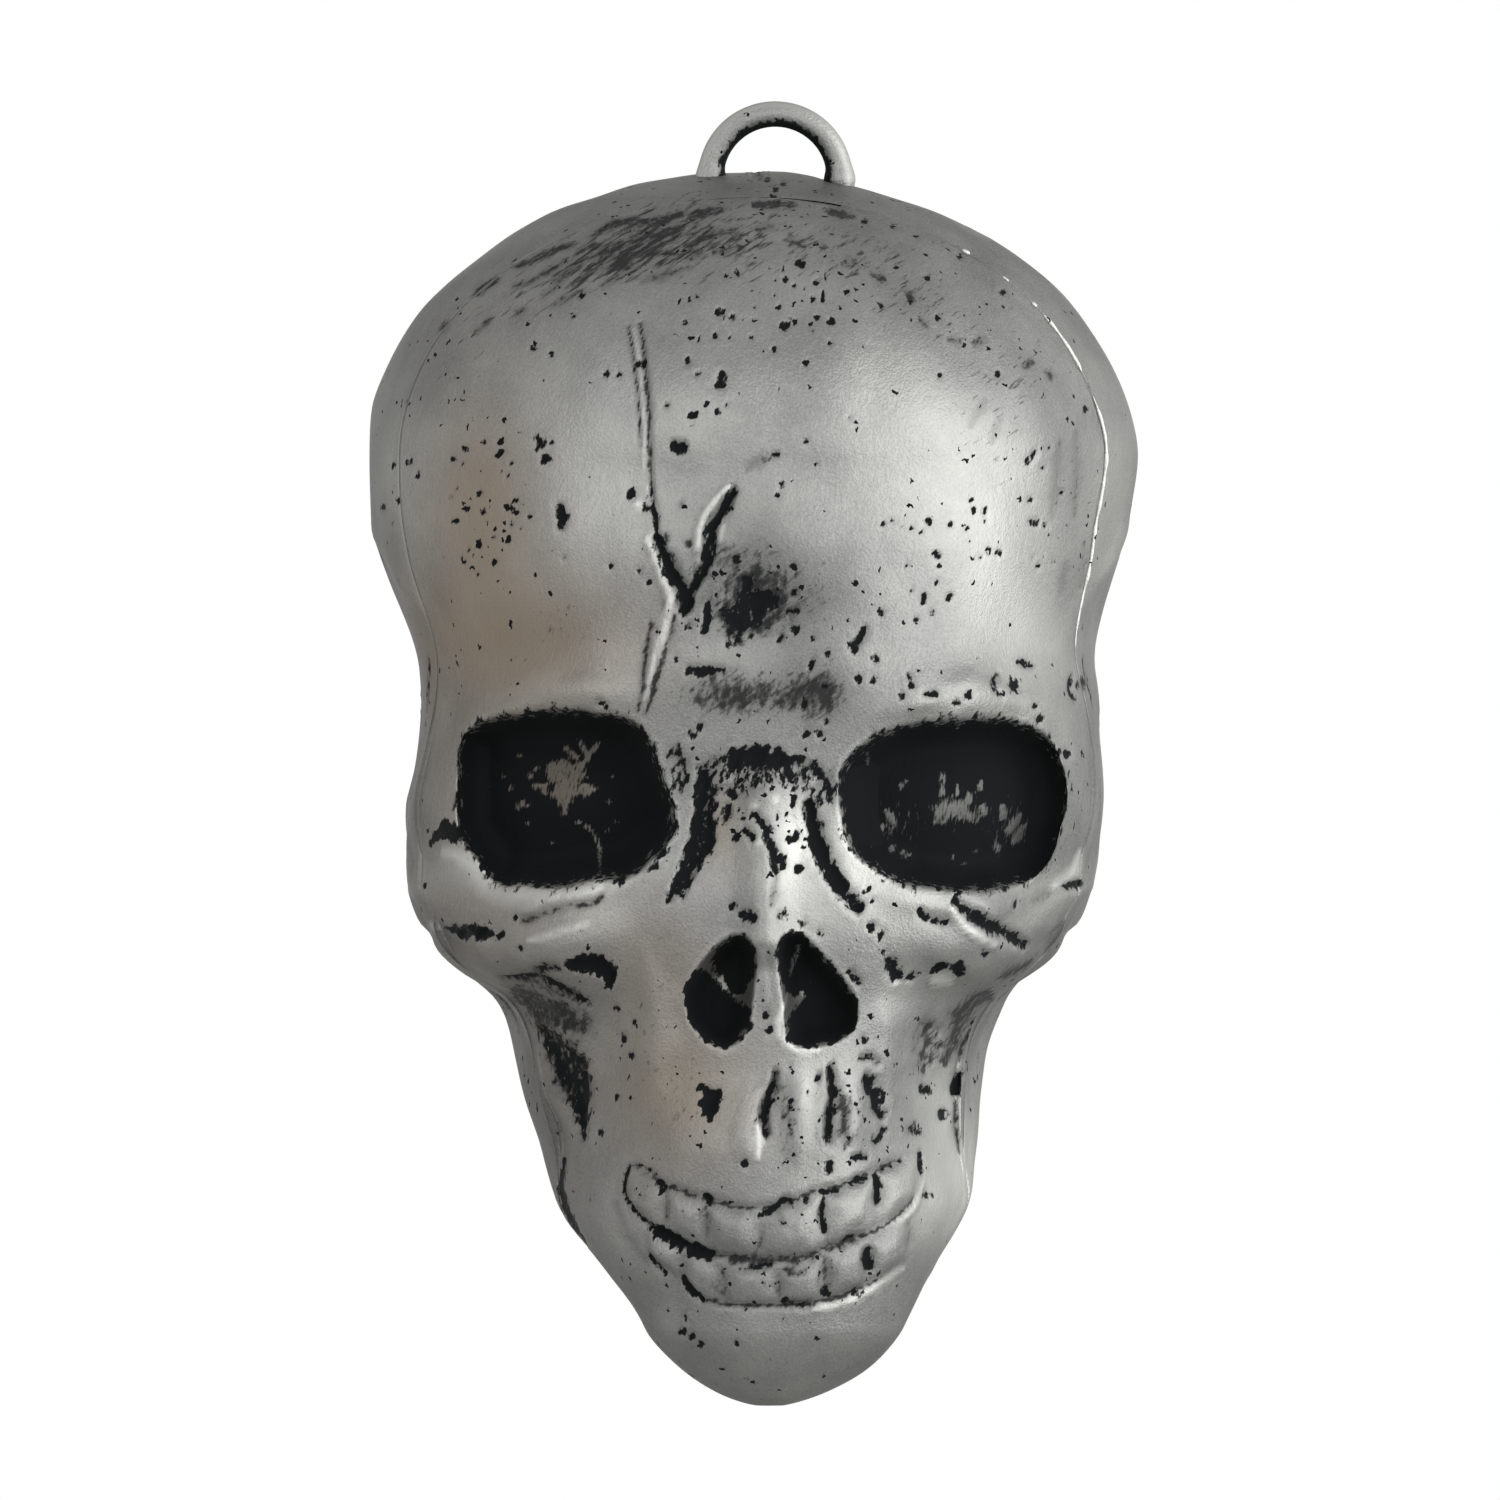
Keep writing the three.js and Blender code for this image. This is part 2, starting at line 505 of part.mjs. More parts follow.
// A self-tapping pan-head screw that enters from the rear, with its head on the boss seat.
function screw({ name, x, z }) {
  const head = SCREW_HEAD_DIAMETER / 2;
  const shank = SCREW_DIAMETER / 2;
  const top = FIT_GAP + SCREW_HEAD_HEIGHT;
  const outline = [
    [0, -SCREW_LENGTH],
    [shank, SCREW_TIP - SCREW_LENGTH],
    [shank, FIT_GAP],
    [head, FIT_GAP],
    [head, FIT_GAP + SCREW_HEAD_HEIGHT / 2],
    [head - SCREW_HEAD_HEIGHT / 2, top],
    [0, top],
  ].map(([radius, along]) => new THREE.Vector2(radius, along));
  let solid = solidOf(new THREE.LatheGeometry(outline, ROUND_SIDES));
  for (const [wide, deep] of [[SCREW_SLOT_LENGTH, SCREW_SLOT_WIDTH], [SCREW_SLOT_WIDTH, SCREW_SLOT_LENGTH]]) {
    solid = solid.subtract(block(
      new THREE.Vector3(-wide / 2, top - SCREW_SLOT_DEPTH, -deep / 2),
      new THREE.Vector3(wide / 2, top + PAST, deep / 2)));
  }
  const mesh = meshOf(name, solid, ZINC);
  mesh.position.set(x, SCREW_SEAT_Y, z);
  return mesh;
}

const skull = new THREE.Group();
skull.add(faceShell(), backShell(), hangingLoop(), loopPlate(), ...screwPlaces.map(screw));
skull.position.copy(HANG_POINT).negate();

const decoration = new THREE.Group();
decoration.add(skull);

export default decoration;
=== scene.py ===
"""Dressed model of a hanging skull ornament, silver paint dry-brushed over moulded black plastic.

Shapes are worked out in millimetres in the skull's own frame: the chin's base is at z 0, the middle
plane at x 0, the widest plane at y 0, and the face looks along -y.
"""

import logging
import math
from dataclasses import dataclass
from enum import Enum
from typing import Any, NamedTuple

import bmesh
import bpy
import numpy as np
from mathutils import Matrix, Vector
from mathutils.kdtree import KDTree


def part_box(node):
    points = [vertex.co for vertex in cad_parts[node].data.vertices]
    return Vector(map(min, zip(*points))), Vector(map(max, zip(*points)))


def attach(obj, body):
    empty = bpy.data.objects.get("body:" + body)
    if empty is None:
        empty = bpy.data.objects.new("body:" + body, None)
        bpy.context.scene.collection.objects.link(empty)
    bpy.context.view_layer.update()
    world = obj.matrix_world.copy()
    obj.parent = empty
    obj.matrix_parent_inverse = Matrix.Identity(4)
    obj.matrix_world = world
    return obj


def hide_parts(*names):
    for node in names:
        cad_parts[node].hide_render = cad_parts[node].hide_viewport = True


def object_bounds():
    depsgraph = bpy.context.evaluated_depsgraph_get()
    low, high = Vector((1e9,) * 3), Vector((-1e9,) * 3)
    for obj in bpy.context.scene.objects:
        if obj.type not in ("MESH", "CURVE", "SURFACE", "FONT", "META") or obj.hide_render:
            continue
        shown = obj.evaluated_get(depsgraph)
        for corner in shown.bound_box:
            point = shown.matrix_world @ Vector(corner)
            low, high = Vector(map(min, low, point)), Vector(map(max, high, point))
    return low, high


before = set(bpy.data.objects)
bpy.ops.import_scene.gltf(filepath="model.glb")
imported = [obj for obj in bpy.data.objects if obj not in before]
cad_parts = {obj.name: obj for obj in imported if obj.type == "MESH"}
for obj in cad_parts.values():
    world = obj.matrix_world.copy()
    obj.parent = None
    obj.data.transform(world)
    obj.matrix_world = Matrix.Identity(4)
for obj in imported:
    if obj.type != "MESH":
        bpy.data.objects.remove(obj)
CAD_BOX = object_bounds()

LOG = logging.getLogger("skull")
MM = 0.001
PHOTO_MIDDLE = 755.0
PHOTO_CHIN = 1401.0
PHOTO_SCALE = 0.12887
PHOTO_SIZE = 1500.0
PARTING = -20.0
SHELL_GAP = 0.3
WALL = 2.0
# Paint layers: bare black, thin black with painted shade, brush streaks, specks, silver scuffs, painted
# highlights and a painted warm reflection.
PAINTS = ("bare", "wash", "streak", "speck", "scuff", "polish", "warm")
Array = np.ndarray
Pairs = tuple[tuple[float, float], ...]


def smooth(start: float, end: float, value: Any) -> Any:
    """Eases a value from 0 at start to 1 at end.

    Args:
        start: Where the rise begins.
        end: Where the rise ends, on either side of start.
        value: A number or an array of them.

    Returns:
        The eased share of the way.
    """
    t = np.clip((value - start) / (end - start), 0.0, 1.0)
    return t * t * (3.0 - 2.0 * t)


def hump(u: Any) -> Any:
    """A soft bump of height 1 at u 0."""
    return np.exp(-2.0 * u * u)


def eased(points: Array, reach: float = 0.9 * MM) -> Array:
    """Rounds off what would stand out past the left of the part's box.

    Args:
        points: Points in metres.
        reach: How near to the box the rounding starts.

    Returns:
        The points, with none past that side of the box.
    """
    low = CAD_BOX[0][0]
    x = points[:, 0]
    near = low + reach * np.exp(np.minimum((x - low) / reach - 1.0, 0.0))
    return np.column_stack([np.where(x < low + reach, near, x), points[:, 1:]])


def bisect(rule: Any, low: float, high: float) -> float:
    """Finds where a rising rule passes zero.

    Args:
        rule: A function of one number, negative at low and positive at high.
        low: The lower bound.
        high: The upper bound.

    Returns:
        The place of the zero.
    """
    for _ in range(50):
        middle = 0.5 * (low + high)
        if rule(middle) < 0.0:
            low = middle
        else:
            high = middle
    return 0.5 * (low + high)


def px(path: str) -> Array:
    """Turns places in the photograph into x and z in millimetres.

    Args:
        path: Pixel places measured from the top left, as in "640,325 643,340".

    Returns:
        One row of x and z for each place.
    """
    at = np.array([pair.split(",") for pair in path.split()], float)
    return np.stack([at[:, 0] - PHOTO_MIDDLE, PHOTO_CHIN - at[:, 1]], axis=1) * PHOTO_SCALE


def rounded(path: Array, closed: bool) -> Array:
    """Cuts the corners of a path twice, so that it runs in soft bends.

    Args:
        path: Points of the path.
        closed: Whether the path is an outline.

    Returns:
        The points of the rounded path.
    """
    for _ in range(2):
        if len(path) < 3:
            return path
        after = np.roll(path, -1, axis=0)
        near = 0.75 * path + 0.25 * after
        far = 0.25 * path + 0.75 * after
        cut = np.stack([near, far], axis=1).reshape(-1, 2)
        path = cut if closed else np.concatenate([path[:1], cut[1:-3], path[-1:]])
    return path


def path_distance(at: Array, path: Array) -> tuple[Array, Array]:
    """Measures how far points lie from a path.

    Args:
        at: The points, one per row.
        path: The path's points, in order.

    Returns:
        The distance of each point, and the share of the path's length where it is nearest.
    """
    if len(path) == 1:
        return np.linalg.norm(at - path[0], axis=1), np.full(len(at), 0.5)
    start = path[:-1]
    step = path[1:] - start
    length = np.maximum(np.linalg.norm(step, axis=1), 1e-9)
    offset = at[:, None, :] - start[None]
    t = np.clip((offset * step[None]).sum(2) / (length * length)[None], 0.0, 1.0)
    gap = np.linalg.norm(offset - t[..., None] * step[None], axis=2)
    best = gap.argmin(axis=1)
    row = np.arange(len(at))
    before = np.concatenate([[0.0], np.cumsum(length)])
    return gap[row, best], (before[best] + t[row, best] * length[best]) / before[-1]


def inside_distance(at: Array, outline: Array) -> Array:
    """Measures how deep points lie inside an outline.

    Args:
        at: The points, one per row.
        outline: The outline's corners, in order.

    Returns:
        The distance to the outline, positive inside and negative outside.
    """
    ring = np.concatenate([outline, outline[:1]])
    gap, _ = path_distance(at, ring)
    x0, z0 = ring[:-1].T
    x1, z1 = ring[1:].T
    px_at = at[:, :1]
    pz_at = at[:, 1:]
    crosses = (z0 > pz_at) != (z1 > pz_at)
    rise = np.where(z1 == z0, 1e-9, z1 - z0)
    hits = crosses & (px_at < x0 + (pz_at - z0) / rise * (x1 - x0))
    return np.where(hits.sum(1) % 2 == 1, gap, -gap)


def wobble(at: Array) -> Array:
    """Gives an uneven wave over flat places, which keeps edges from running straight.

    Args:
        at: The places, one per row.

    Returns:
        The wave at each place, from about -1 to 1.
    """
    x, z = at.T
    wave = np.sin(1.9 * x + 0.7 * z) + np.sin(1.3 * z - 2.3 * x + 1.0) + np.sin(3.1 * z + 1.1 * x + 2.0)
    return (wave + np.sin(4.3 * x - 2.9 * z + 0.5)) / 3.0


class Station(NamedTuple):
    """One level of the skull's skin, as shares of its height, half width and reaches."""

    level: float
    wide: float
    rear: float
    front: float
    axis: float
    back: float
    power: float


class Trim(NamedTuple):
    """How far the outline stands off the plain skin at a row of the photograph, in millimetres outwards."""

    row: float
    left: float
    right: float


class Section(NamedTuple):
    """Horizontal sections of the skin, one entry for each height."""

    half: Array
    rear_half: Array
    to_front: Array
    to_back: Array
    axis: Array
    power: Array
    middle: Array


@dataclass(frozen=True)
class SkullForm:
    """The skull's plain skin, before its face is sunk and raised."""

    width: float = 100.0
    height: float = 158.4
    vault: float = 121.0
    face_reach: float = 49.0
    rear_reach: float = 53.0
    chin_round: float = 10.0
    jaw_drift: float = 2.4
    jaw_drift_top: float = 36.0
    face_lean: float = 2.7
    face_lean_top: float = 110.0
    stations: tuple[Station, ...] = (
        Station(0.0, 0.26, 0.24, -0.88, -0.63, -0.37, 2.1),
        Station(0.083, 0.342, 0.3, -0.94, -0.55, -0.25, 2.2),
        Station(0.182, 0.492, 0.42, -0.99, -0.31, 0.02, 2.3),
        Station(0.264, 0.56, 0.46, -1.0, -0.16, 0.21, 2.2),
        Station(0.364, 0.606, 0.5, -0.97, -0.06, 0.4, 2.2),
        Station(0.426, 0.652, 0.56, -0.97, 0.0, 0.51, 2.3),
        Station(0.512, 0.848, 0.66, -0.97, 0.0, 0.68, 2.5),
        Station(0.624, 0.902, 0.78, -0.95, 0.0, 0.85, 2.6),
        Station(0.777, 0.872, 0.87, -0.98, 0.0, 0.98, 2.3),
        Station(0.901, 0.962, 0.96, -0.99, 0.0, 1.0, 2.1),
        Station(1.0, 1.0, 1.0, -0.96, 0.0, 0.96, 2.05),
    )
    trims: tuple[Trim, ...] = (
        Trim(175, 1.2, -1.4), Trim(205, 1.1, -2.2), Trim(240, 0.4, -1.1), Trim(300, 0.7, -1.0),
        Trim(375, 0.4, -1.0), Trim(450, 0.2, -0.3), Trim(525, 0.3, -1.3), Trim(600, 0.0, -1.0),
        Trim(650, 0.0, 0.0), Trim(700, -0.2, 1.2), Trim(755, 0.2, 1.3), Trim(800, 0.9, 0.8),
        Trim(850, 0.3, -0.5), Trim(890, -0.9, -2.3), Trim(925, 1.2, -0.2), Trim(962, 3.5, 0.9),
        Trim(1005, 0.4, -0.3), Trim(1050, -0.1, -1.4), Trim(1100, -0.4, -1.0), Trim(1140, -1.6, -0.6),
        Trim(1200, -0.4, -0.3), Trim(1250, -0.7, -1.1), Trim(1300, -0.8, -0.4), Trim(1350, -0.4, 0.1),
        Trim(1400, 0.0, 0.0),
    )
    trim_soft: float = 3.0
    trim_start: float = 0.35

    def trim(self, x: Array, z: Array) -> Array:
        """Moves the sides in or out to the photograph's outline.

        Args:
            x: Places across the plain skin.
            z: Heights, of the same shape.

        Returns:
            How far each point moves along x.
        """
        level = np.arange(-20.0, 180.0, 0.5)
        rows = (PHOTO_CHIN - np.array([t.row for t in self.trims])) * PHOTO_SCALE
        bell = hump(np.arange(-6.0, 6.5, 0.5) / self.trim_soft)
        s = self.section(z, 0.0)
        share = smooth(self.trim_start, 1.0, np.abs(x - s.middle) / np.maximum(s.half, 1e-6))
        moves = []
        for key in ("left", "right"):
            plain = np.interp(level, rows[::-1], [getattr(t, key) for t in self.trims][::-1])
            moves.append(np.interp(z, level, np.convolve(plain, bell / bell.sum(), "same")))
        return np.where(x < s.middle, -moves[0], moves[1]) * share

    def curve(self, key: str, z: Array) -> Array:
        """Runs a smooth curve through the stations that never overshoots them.

        Args:
            key: The station's share to follow.
            z: Heights.

        Returns:
            The share at each height.
        """
        at = np.array([s.level for s in self.stations])
        value = np.array([getattr(s, key) for s in self.stations])
        rate = np.diff(value) / np.diff(at)
        both = rate[:-1] * rate[1:]
        slope = np.zeros_like(value)
        slope[1:-1] = np.where(both > 0.0, 2.0 * both / np.where(both > 0.0, rate[:-1] + rate[1:], 1.0), 0.0)
        level = np.clip(z / self.vault, 0.0, 1.0)
        i = np.clip(np.searchsorted(at, level) - 1, 0, len(at) - 2)
        span = at[i + 1] - at[i]
        t = np.clip((level - at[i]) / span, 0.0, 1.0)
        bend = t * (1.0 - t) * span * (slope[i] * (1.0 - t) - slope[i + 1] * t)
        return value[i] + (value[i + 1] - value[i]) * smooth(0.0, 1.0, t) + bend

    def reach(self, key: str, z: Array) -> Array:
        """The y place of a station's share at each height."""
        share = self.curve(key, z)
        return share * np.where(share < 0.0, self.face_reach, self.rear_reach)

    def section(self, z: Array, inset: float) -> Section:
        """Cuts the skin at heights.

        Args:
            z: Heights.
            inset: Depth of the skin below the outer surface.

        Returns:
            The sections.
        """
        over = (z - self.vault) / (self.height - inset - self.vault)
        under = (self.chin_round - z) / (self.chin_round - inset)
        cap = np.sqrt(np.maximum(0.0, 1.0 - np.maximum(np.maximum(over, under), 0.0) ** 2))
        axis = self.reach("axis", z)
        return Section(
            (self.curve("wide", z) * self.width / 2.0 - inset) * cap,
            (self.curve("rear", z) * self.width / 2.0 - inset) * cap,
            (axis - self.reach("front", z) - inset) * cap,
            (self.reach("back", z) - axis - inset) * cap,
            axis,
            self.curve("power", z),
            self.jaw_drift * smooth(self.jaw_drift_top, self.chin_round, z),
        )

    def skin(self, z: Array, angle: Array, inset: float) -> tuple[Array, Array, Array]:
        """Gives points of the skin.

        Args:
            z: Heights, of a shape that goes with the angles.
            angle: Turns from the middle of the face, a half turn being the rear.
            inset: Depth of the skin below the outer surface.

        Returns:
            The x and y places, and how squarely each point faces forward, 0 to the rear of the axis.
        """
        s = self.section(z, inset)
        power = 2.0 / s.power
        across = np.sign(np.sin(angle)) * np.abs(np.sin(angle)) ** power
        along = np.abs(np.cos(angle)) ** power
        rear = np.cos(angle) < 0.0
        wide = np.where(rear, s.half + (s.rear_half - s.half) * smooth(0.0, 1.0, along), s.half)
        y = np.where(rear, s.axis + s.to_back * along, s.axis - s.to_front * along)
        return s.middle + wide * across, y, np.where(rear, 0.0, along)

    def edge_angle(self, z: Array, edge: float, inset: float) -> Array:
        """Finds where a frontal plane cuts the skin.

        Args:
            z: Heights.
            edge: The plane's y place.
            inset: Depth of the skin below the outer surface.

        Returns:
            The angle of the cut at each height, a half turn where the whole section lies before the plane.
        """
        s = self.section(z, inset)
        front = np.clip((s.axis - edge) / np.maximum(s.to_front, 1e-9), 0.0, 1.0)
        rear = np.clip((edge - s.axis) / np.maximum(s.to_back, 1e-9), 0.0, 1.0)
        before = np.arccos(front ** (s.power / 2.0))
        behind = math.pi - np.arccos(rear ** (s.power / 2.0))
        return np.where(s.axis > edge, before, behind)

    def face_middle(self, z: Array) -> Array:
        """The x place of the face's middle line, which leans a little."""
        return self.face_lean * np.maximum(0.0, 1.0 - z / self.face_lean_top)

    def rear_depth(self, x: float, z: float, inset: float) -> float:
        """Finds the rear skin behind a point of the frontal plane.

        Args:
            x: The point's place across.
            z: Its height.
            inset: Depth of the skin below the outer surface.

        Returns:
            The y place of the skin.
        """
        def past(angle: float) -> float:
            """How far the skin's point has come in towards the middle."""
            at, _, _ = self.skin(np.array(z), np.array(angle), inset)
            return abs(x - middle) - abs(float(at) - middle)

        middle = float(self.section(np.array(z), inset).middle)
        turn = bisect(past, math.pi / 2.0, math.pi)
        return float(self.skin(np.array(z), np.array(turn), inset)[1])


class Side(Enum):
    """The half of the skull before or behind the parting plane."""

    FACE = "face"
    BACK = "back"


class View(Enum):
    """The side that a mark is drawn from."""

    FRONT = "front"
    SIDE = "side"
    REAR = "rear"
    TOP = "top"


@dataclass
class Skin:
    """An outer surface, with the lift and the paint that marks give it."""

    points: Array
    normals: Array
    lift: Array
    paint: dict[str, Array]

    def place(self, view: View) -> tuple[Array, Array, Array]:
        """Shows the surface from a side.

        Args:
            view: The side.

        Returns:
            Flat places of all points, the numbers of the points that face that side, and a share for each of
            these that falls to nothing where the surface turns away.
        """
        n = self.normals
        flat, toward = {
            View.FRONT: ([0, 2], 0.15 - n[:, 1] + 0.5 * np.maximum(n[:, 2], 0.0)),
            View.SIDE: ([1, 2], np.abs(n[:, 0]) - 0.05),
            View.REAR: ([0, 2], n[:, 1]),
            View.TOP: ([0, 1], n[:, 2] - 0.2)}[view]
        facing = np.flatnonzero(toward > 0.1)
        return self.points[:, flat], facing, smooth(0.1, 0.35, toward[facing])

    def near(self, view: View, path: Array, room: float) -> tuple[Array, Array, Array]:
        """Picks the points round a path or an outline that face a side.

        Args:
            view: The side.
            path: Flat places of the path.
            room: How far round the path to look.

        Returns:
            The numbers of the points, their flat places, and their shares as from place.
        """
        at, facing, ease = self.place(view)
        flat = at[facing]
        clear = np.all((flat > path.min(0) - room) & (flat < path.max(0) + room), axis=1)
        return facing[clear], flat[clear], ease[clear]

    def cover(self, name: str, which: Array, amount: Array) -> None:
        """Raises a paint to at least an amount at some points."""
        self.paint[name][which] = np.maximum(self.paint[name][which], amount)

    def brush(self, mark: "Stroke | Patch", which: Array, share: Array) -> None:
        """Covers points with the paints that a mark carries.

        Args:
            mark: The mark.
            which: The numbers of the points.
            share: How much of the mark's paint each point gets.
        """
        for name in ("bare", "wash", "scuff", "polish"):
            amount = getattr(mark, name, 0.0)
            if amount > 0.0:
                self.cover(name, which, amount * share)


@dataclass(frozen=True)
class Stroke:
    """A groove, ridge, crack or brush stroke along a path."""

    path: Array
    half: float
    depth: float = 0.0
    lip: float = 0.0
    bare: float = 0.0
    wash: float = 0.0
    scuff: float = 0.0
    polish: float = 0.0
    taper: float = 0.45
    shade_halo: float = 0.0
    fade: float = 0.0
    view: View = View.FRONT

    def apply(self, skin: Skin) -> None:
        """Lifts and paints the skin along the path.

        Args:
            skin: The surface to change.
        """
        path = rounded(self.path, False)
        near, at, ease = skin.near(self.view, path, 4.5 * self.half)
        if len(near) == 0:
            return
        gap, along = path_distance(at, path)
        uneven = wobble(at / max(1.0, 1.6 * self.half))
        t = gap / (self.half * (1.0 - self.taper * (2.0 * along - 1.0) ** 2) * (1.0 + 0.3 * uneven))
        ends = ease * smooth(0.0, max(self.fade, 1e-6), np.minimum(along, 1.0 - along))
        lip = self.lip * (0.6 + 0.6 * uneven)
        skin.lift[near] += (lip * np.exp(-((t - 2.0) / 0.8) ** 2) - self.depth * np.exp(-t * t)) * ends
        # A soft painted shade round the groove.
        skin.cover("wash", near, self.shade_halo * np.exp(-0.16 * t * t) * ends)
        skin.brush(self, near, np.clip(1.0 - 0.5 * t, 0.0, 1.0) * ends)


@dataclass(frozen=True)
class Patch:
    """A painted or sunk area within an outline."""

    outline: Array
    soft: float = 0.8
    depth: float = 0.0
    bare: float = 0.0
    wash: float = 0.0
    scuff: float = 0.0
    view: View = View.FRONT

    def apply(self, skin: Skin) -> None:
        """Sinks and paints the skin inside the outline.

        Args:
            skin: The surface to change.
        """
        outline = rounded(self.outline, True)
        near, at, ease = skin.near(self.view, outline, self.soft)
        if len(near) == 0:
            return
        deep = inside_distance(at, outline) + 0.5 * wobble(at)
        skin.lift[near] -= self.depth * smooth(0.0, 2.0 * self.soft, deep) * ease
        skin.brush(self, near, np.clip(0.5 + 0.5 * deep / self.soft, 0.0, 1.0) * ease)


@dataclass(frozen=True)
class Cloud:
    """A soft round area with more or less of a paint."""

    centre: Array
    wide: float
    tall: float
    turn: float = 0.0
    lift: float = 0.0
    wash: float = 0.0
    speck: float = 0.0
    scuff: float = 0.0
    polish: float = 0.0
    warm: float = 0.0
    streak: float = 0.0
    view: View = View.FRONT

    def apply(self, skin: Skin) -> None:
        """Spreads the paint over the skin.

        Args:
            skin: The surface to change.
        """
        at, facing, ease = skin.place(self.view)
        offset = at[facing] - self.centre.reshape(2)
        across = offset[:, 0] * math.cos(self.turn) + offset[:, 1] * math.sin(self.turn)
        up = offset[:, 1] * math.cos(self.turn) - offset[:, 0] * math.sin(self.turn)
        share = ease * np.exp(-((across / self.wide) ** 2 + (up / self.tall) ** 2))
        skin.lift[facing] += self.lift * share
        for name in ("wash", "speck", "scuff", "polish", "warm", "streak"):
            skin.paint[name][facing] += getattr(self, name) * share


@dataclass(frozen=True)
class Scatter:
    """Small pits strewn over a round area, the same on each run."""

    centre: Array
    wide: float
    tall: float
    count: int
    small: float
    large: float
    seed: int
    depth: float = 0.25
    view: View = View.FRONT

    def apply(self, skin: Skin) -> None:
        """Sinks the pits into the skin.

        Args:
            skin: The surface to change.
        """
        chance = np.random.default_rng(self.seed)
        for _ in range(self.count):
            turn = chance.uniform(0.0, 2.0 * math.pi)
            out = math.sqrt(chance.uniform(0.0, 1.0))
            at = self.centre.reshape(2) + out * np.array(
                [self.wide * math.cos(turn), self.tall * math.sin(turn)])
            half = self.small + (self.large - self.small) * chance.uniform(0.0, 1.0) ** 2
            lean = chance.uniform(0.0, math.pi)
            tail = half * chance.uniform(0.2, 2.0) * np.array([math.cos(lean), math.sin(lean)])
            pit = np.stack([at - tail, at + tail])
            Stroke(pit, half, depth=self.depth, lip=0.05, bare=1.0, view=self.view).apply(skin)


@dataclass(frozen=True)
class Socket:
    """An opening of the face, sunk inside a measured outline."""

    outline: Array
    depth: float
    slope: float
    dome: float = 0.0

    def sink(self, x: Array, z: Array) -> Array:
        """Gives the depth of the opening.

        Args:
            x: Places across the face.
            z: Heights.

        Returns:
            How far the skin sinks at each place.
        """
        outline = rounded(self.outline, True)
        at = np.stack([x.ravel(), z.ravel()], axis=1)
        near = np.flatnonzero(np.all((at > outline.min(0)) & (at < outline.max(0)), axis=1))
        deep = np.zeros(len(at))
        gap = np.maximum(inside_distance(at[near], outline), 0.0)
        middle = 0.5 * (outline.max(0) + outline.min(0))
        half = 0.5 * (outline.max(0) - outline.min(0))
        out = np.linalg.norm((at[near] - middle) / half, axis=1)
        bowl = np.minimum(gap / self.slope, 1.0)
        deep[near] = (self.depth - self.dome * hump(1.4 * out)) * bowl * (2.0 - bowl)
        return deep.reshape(x.shape)


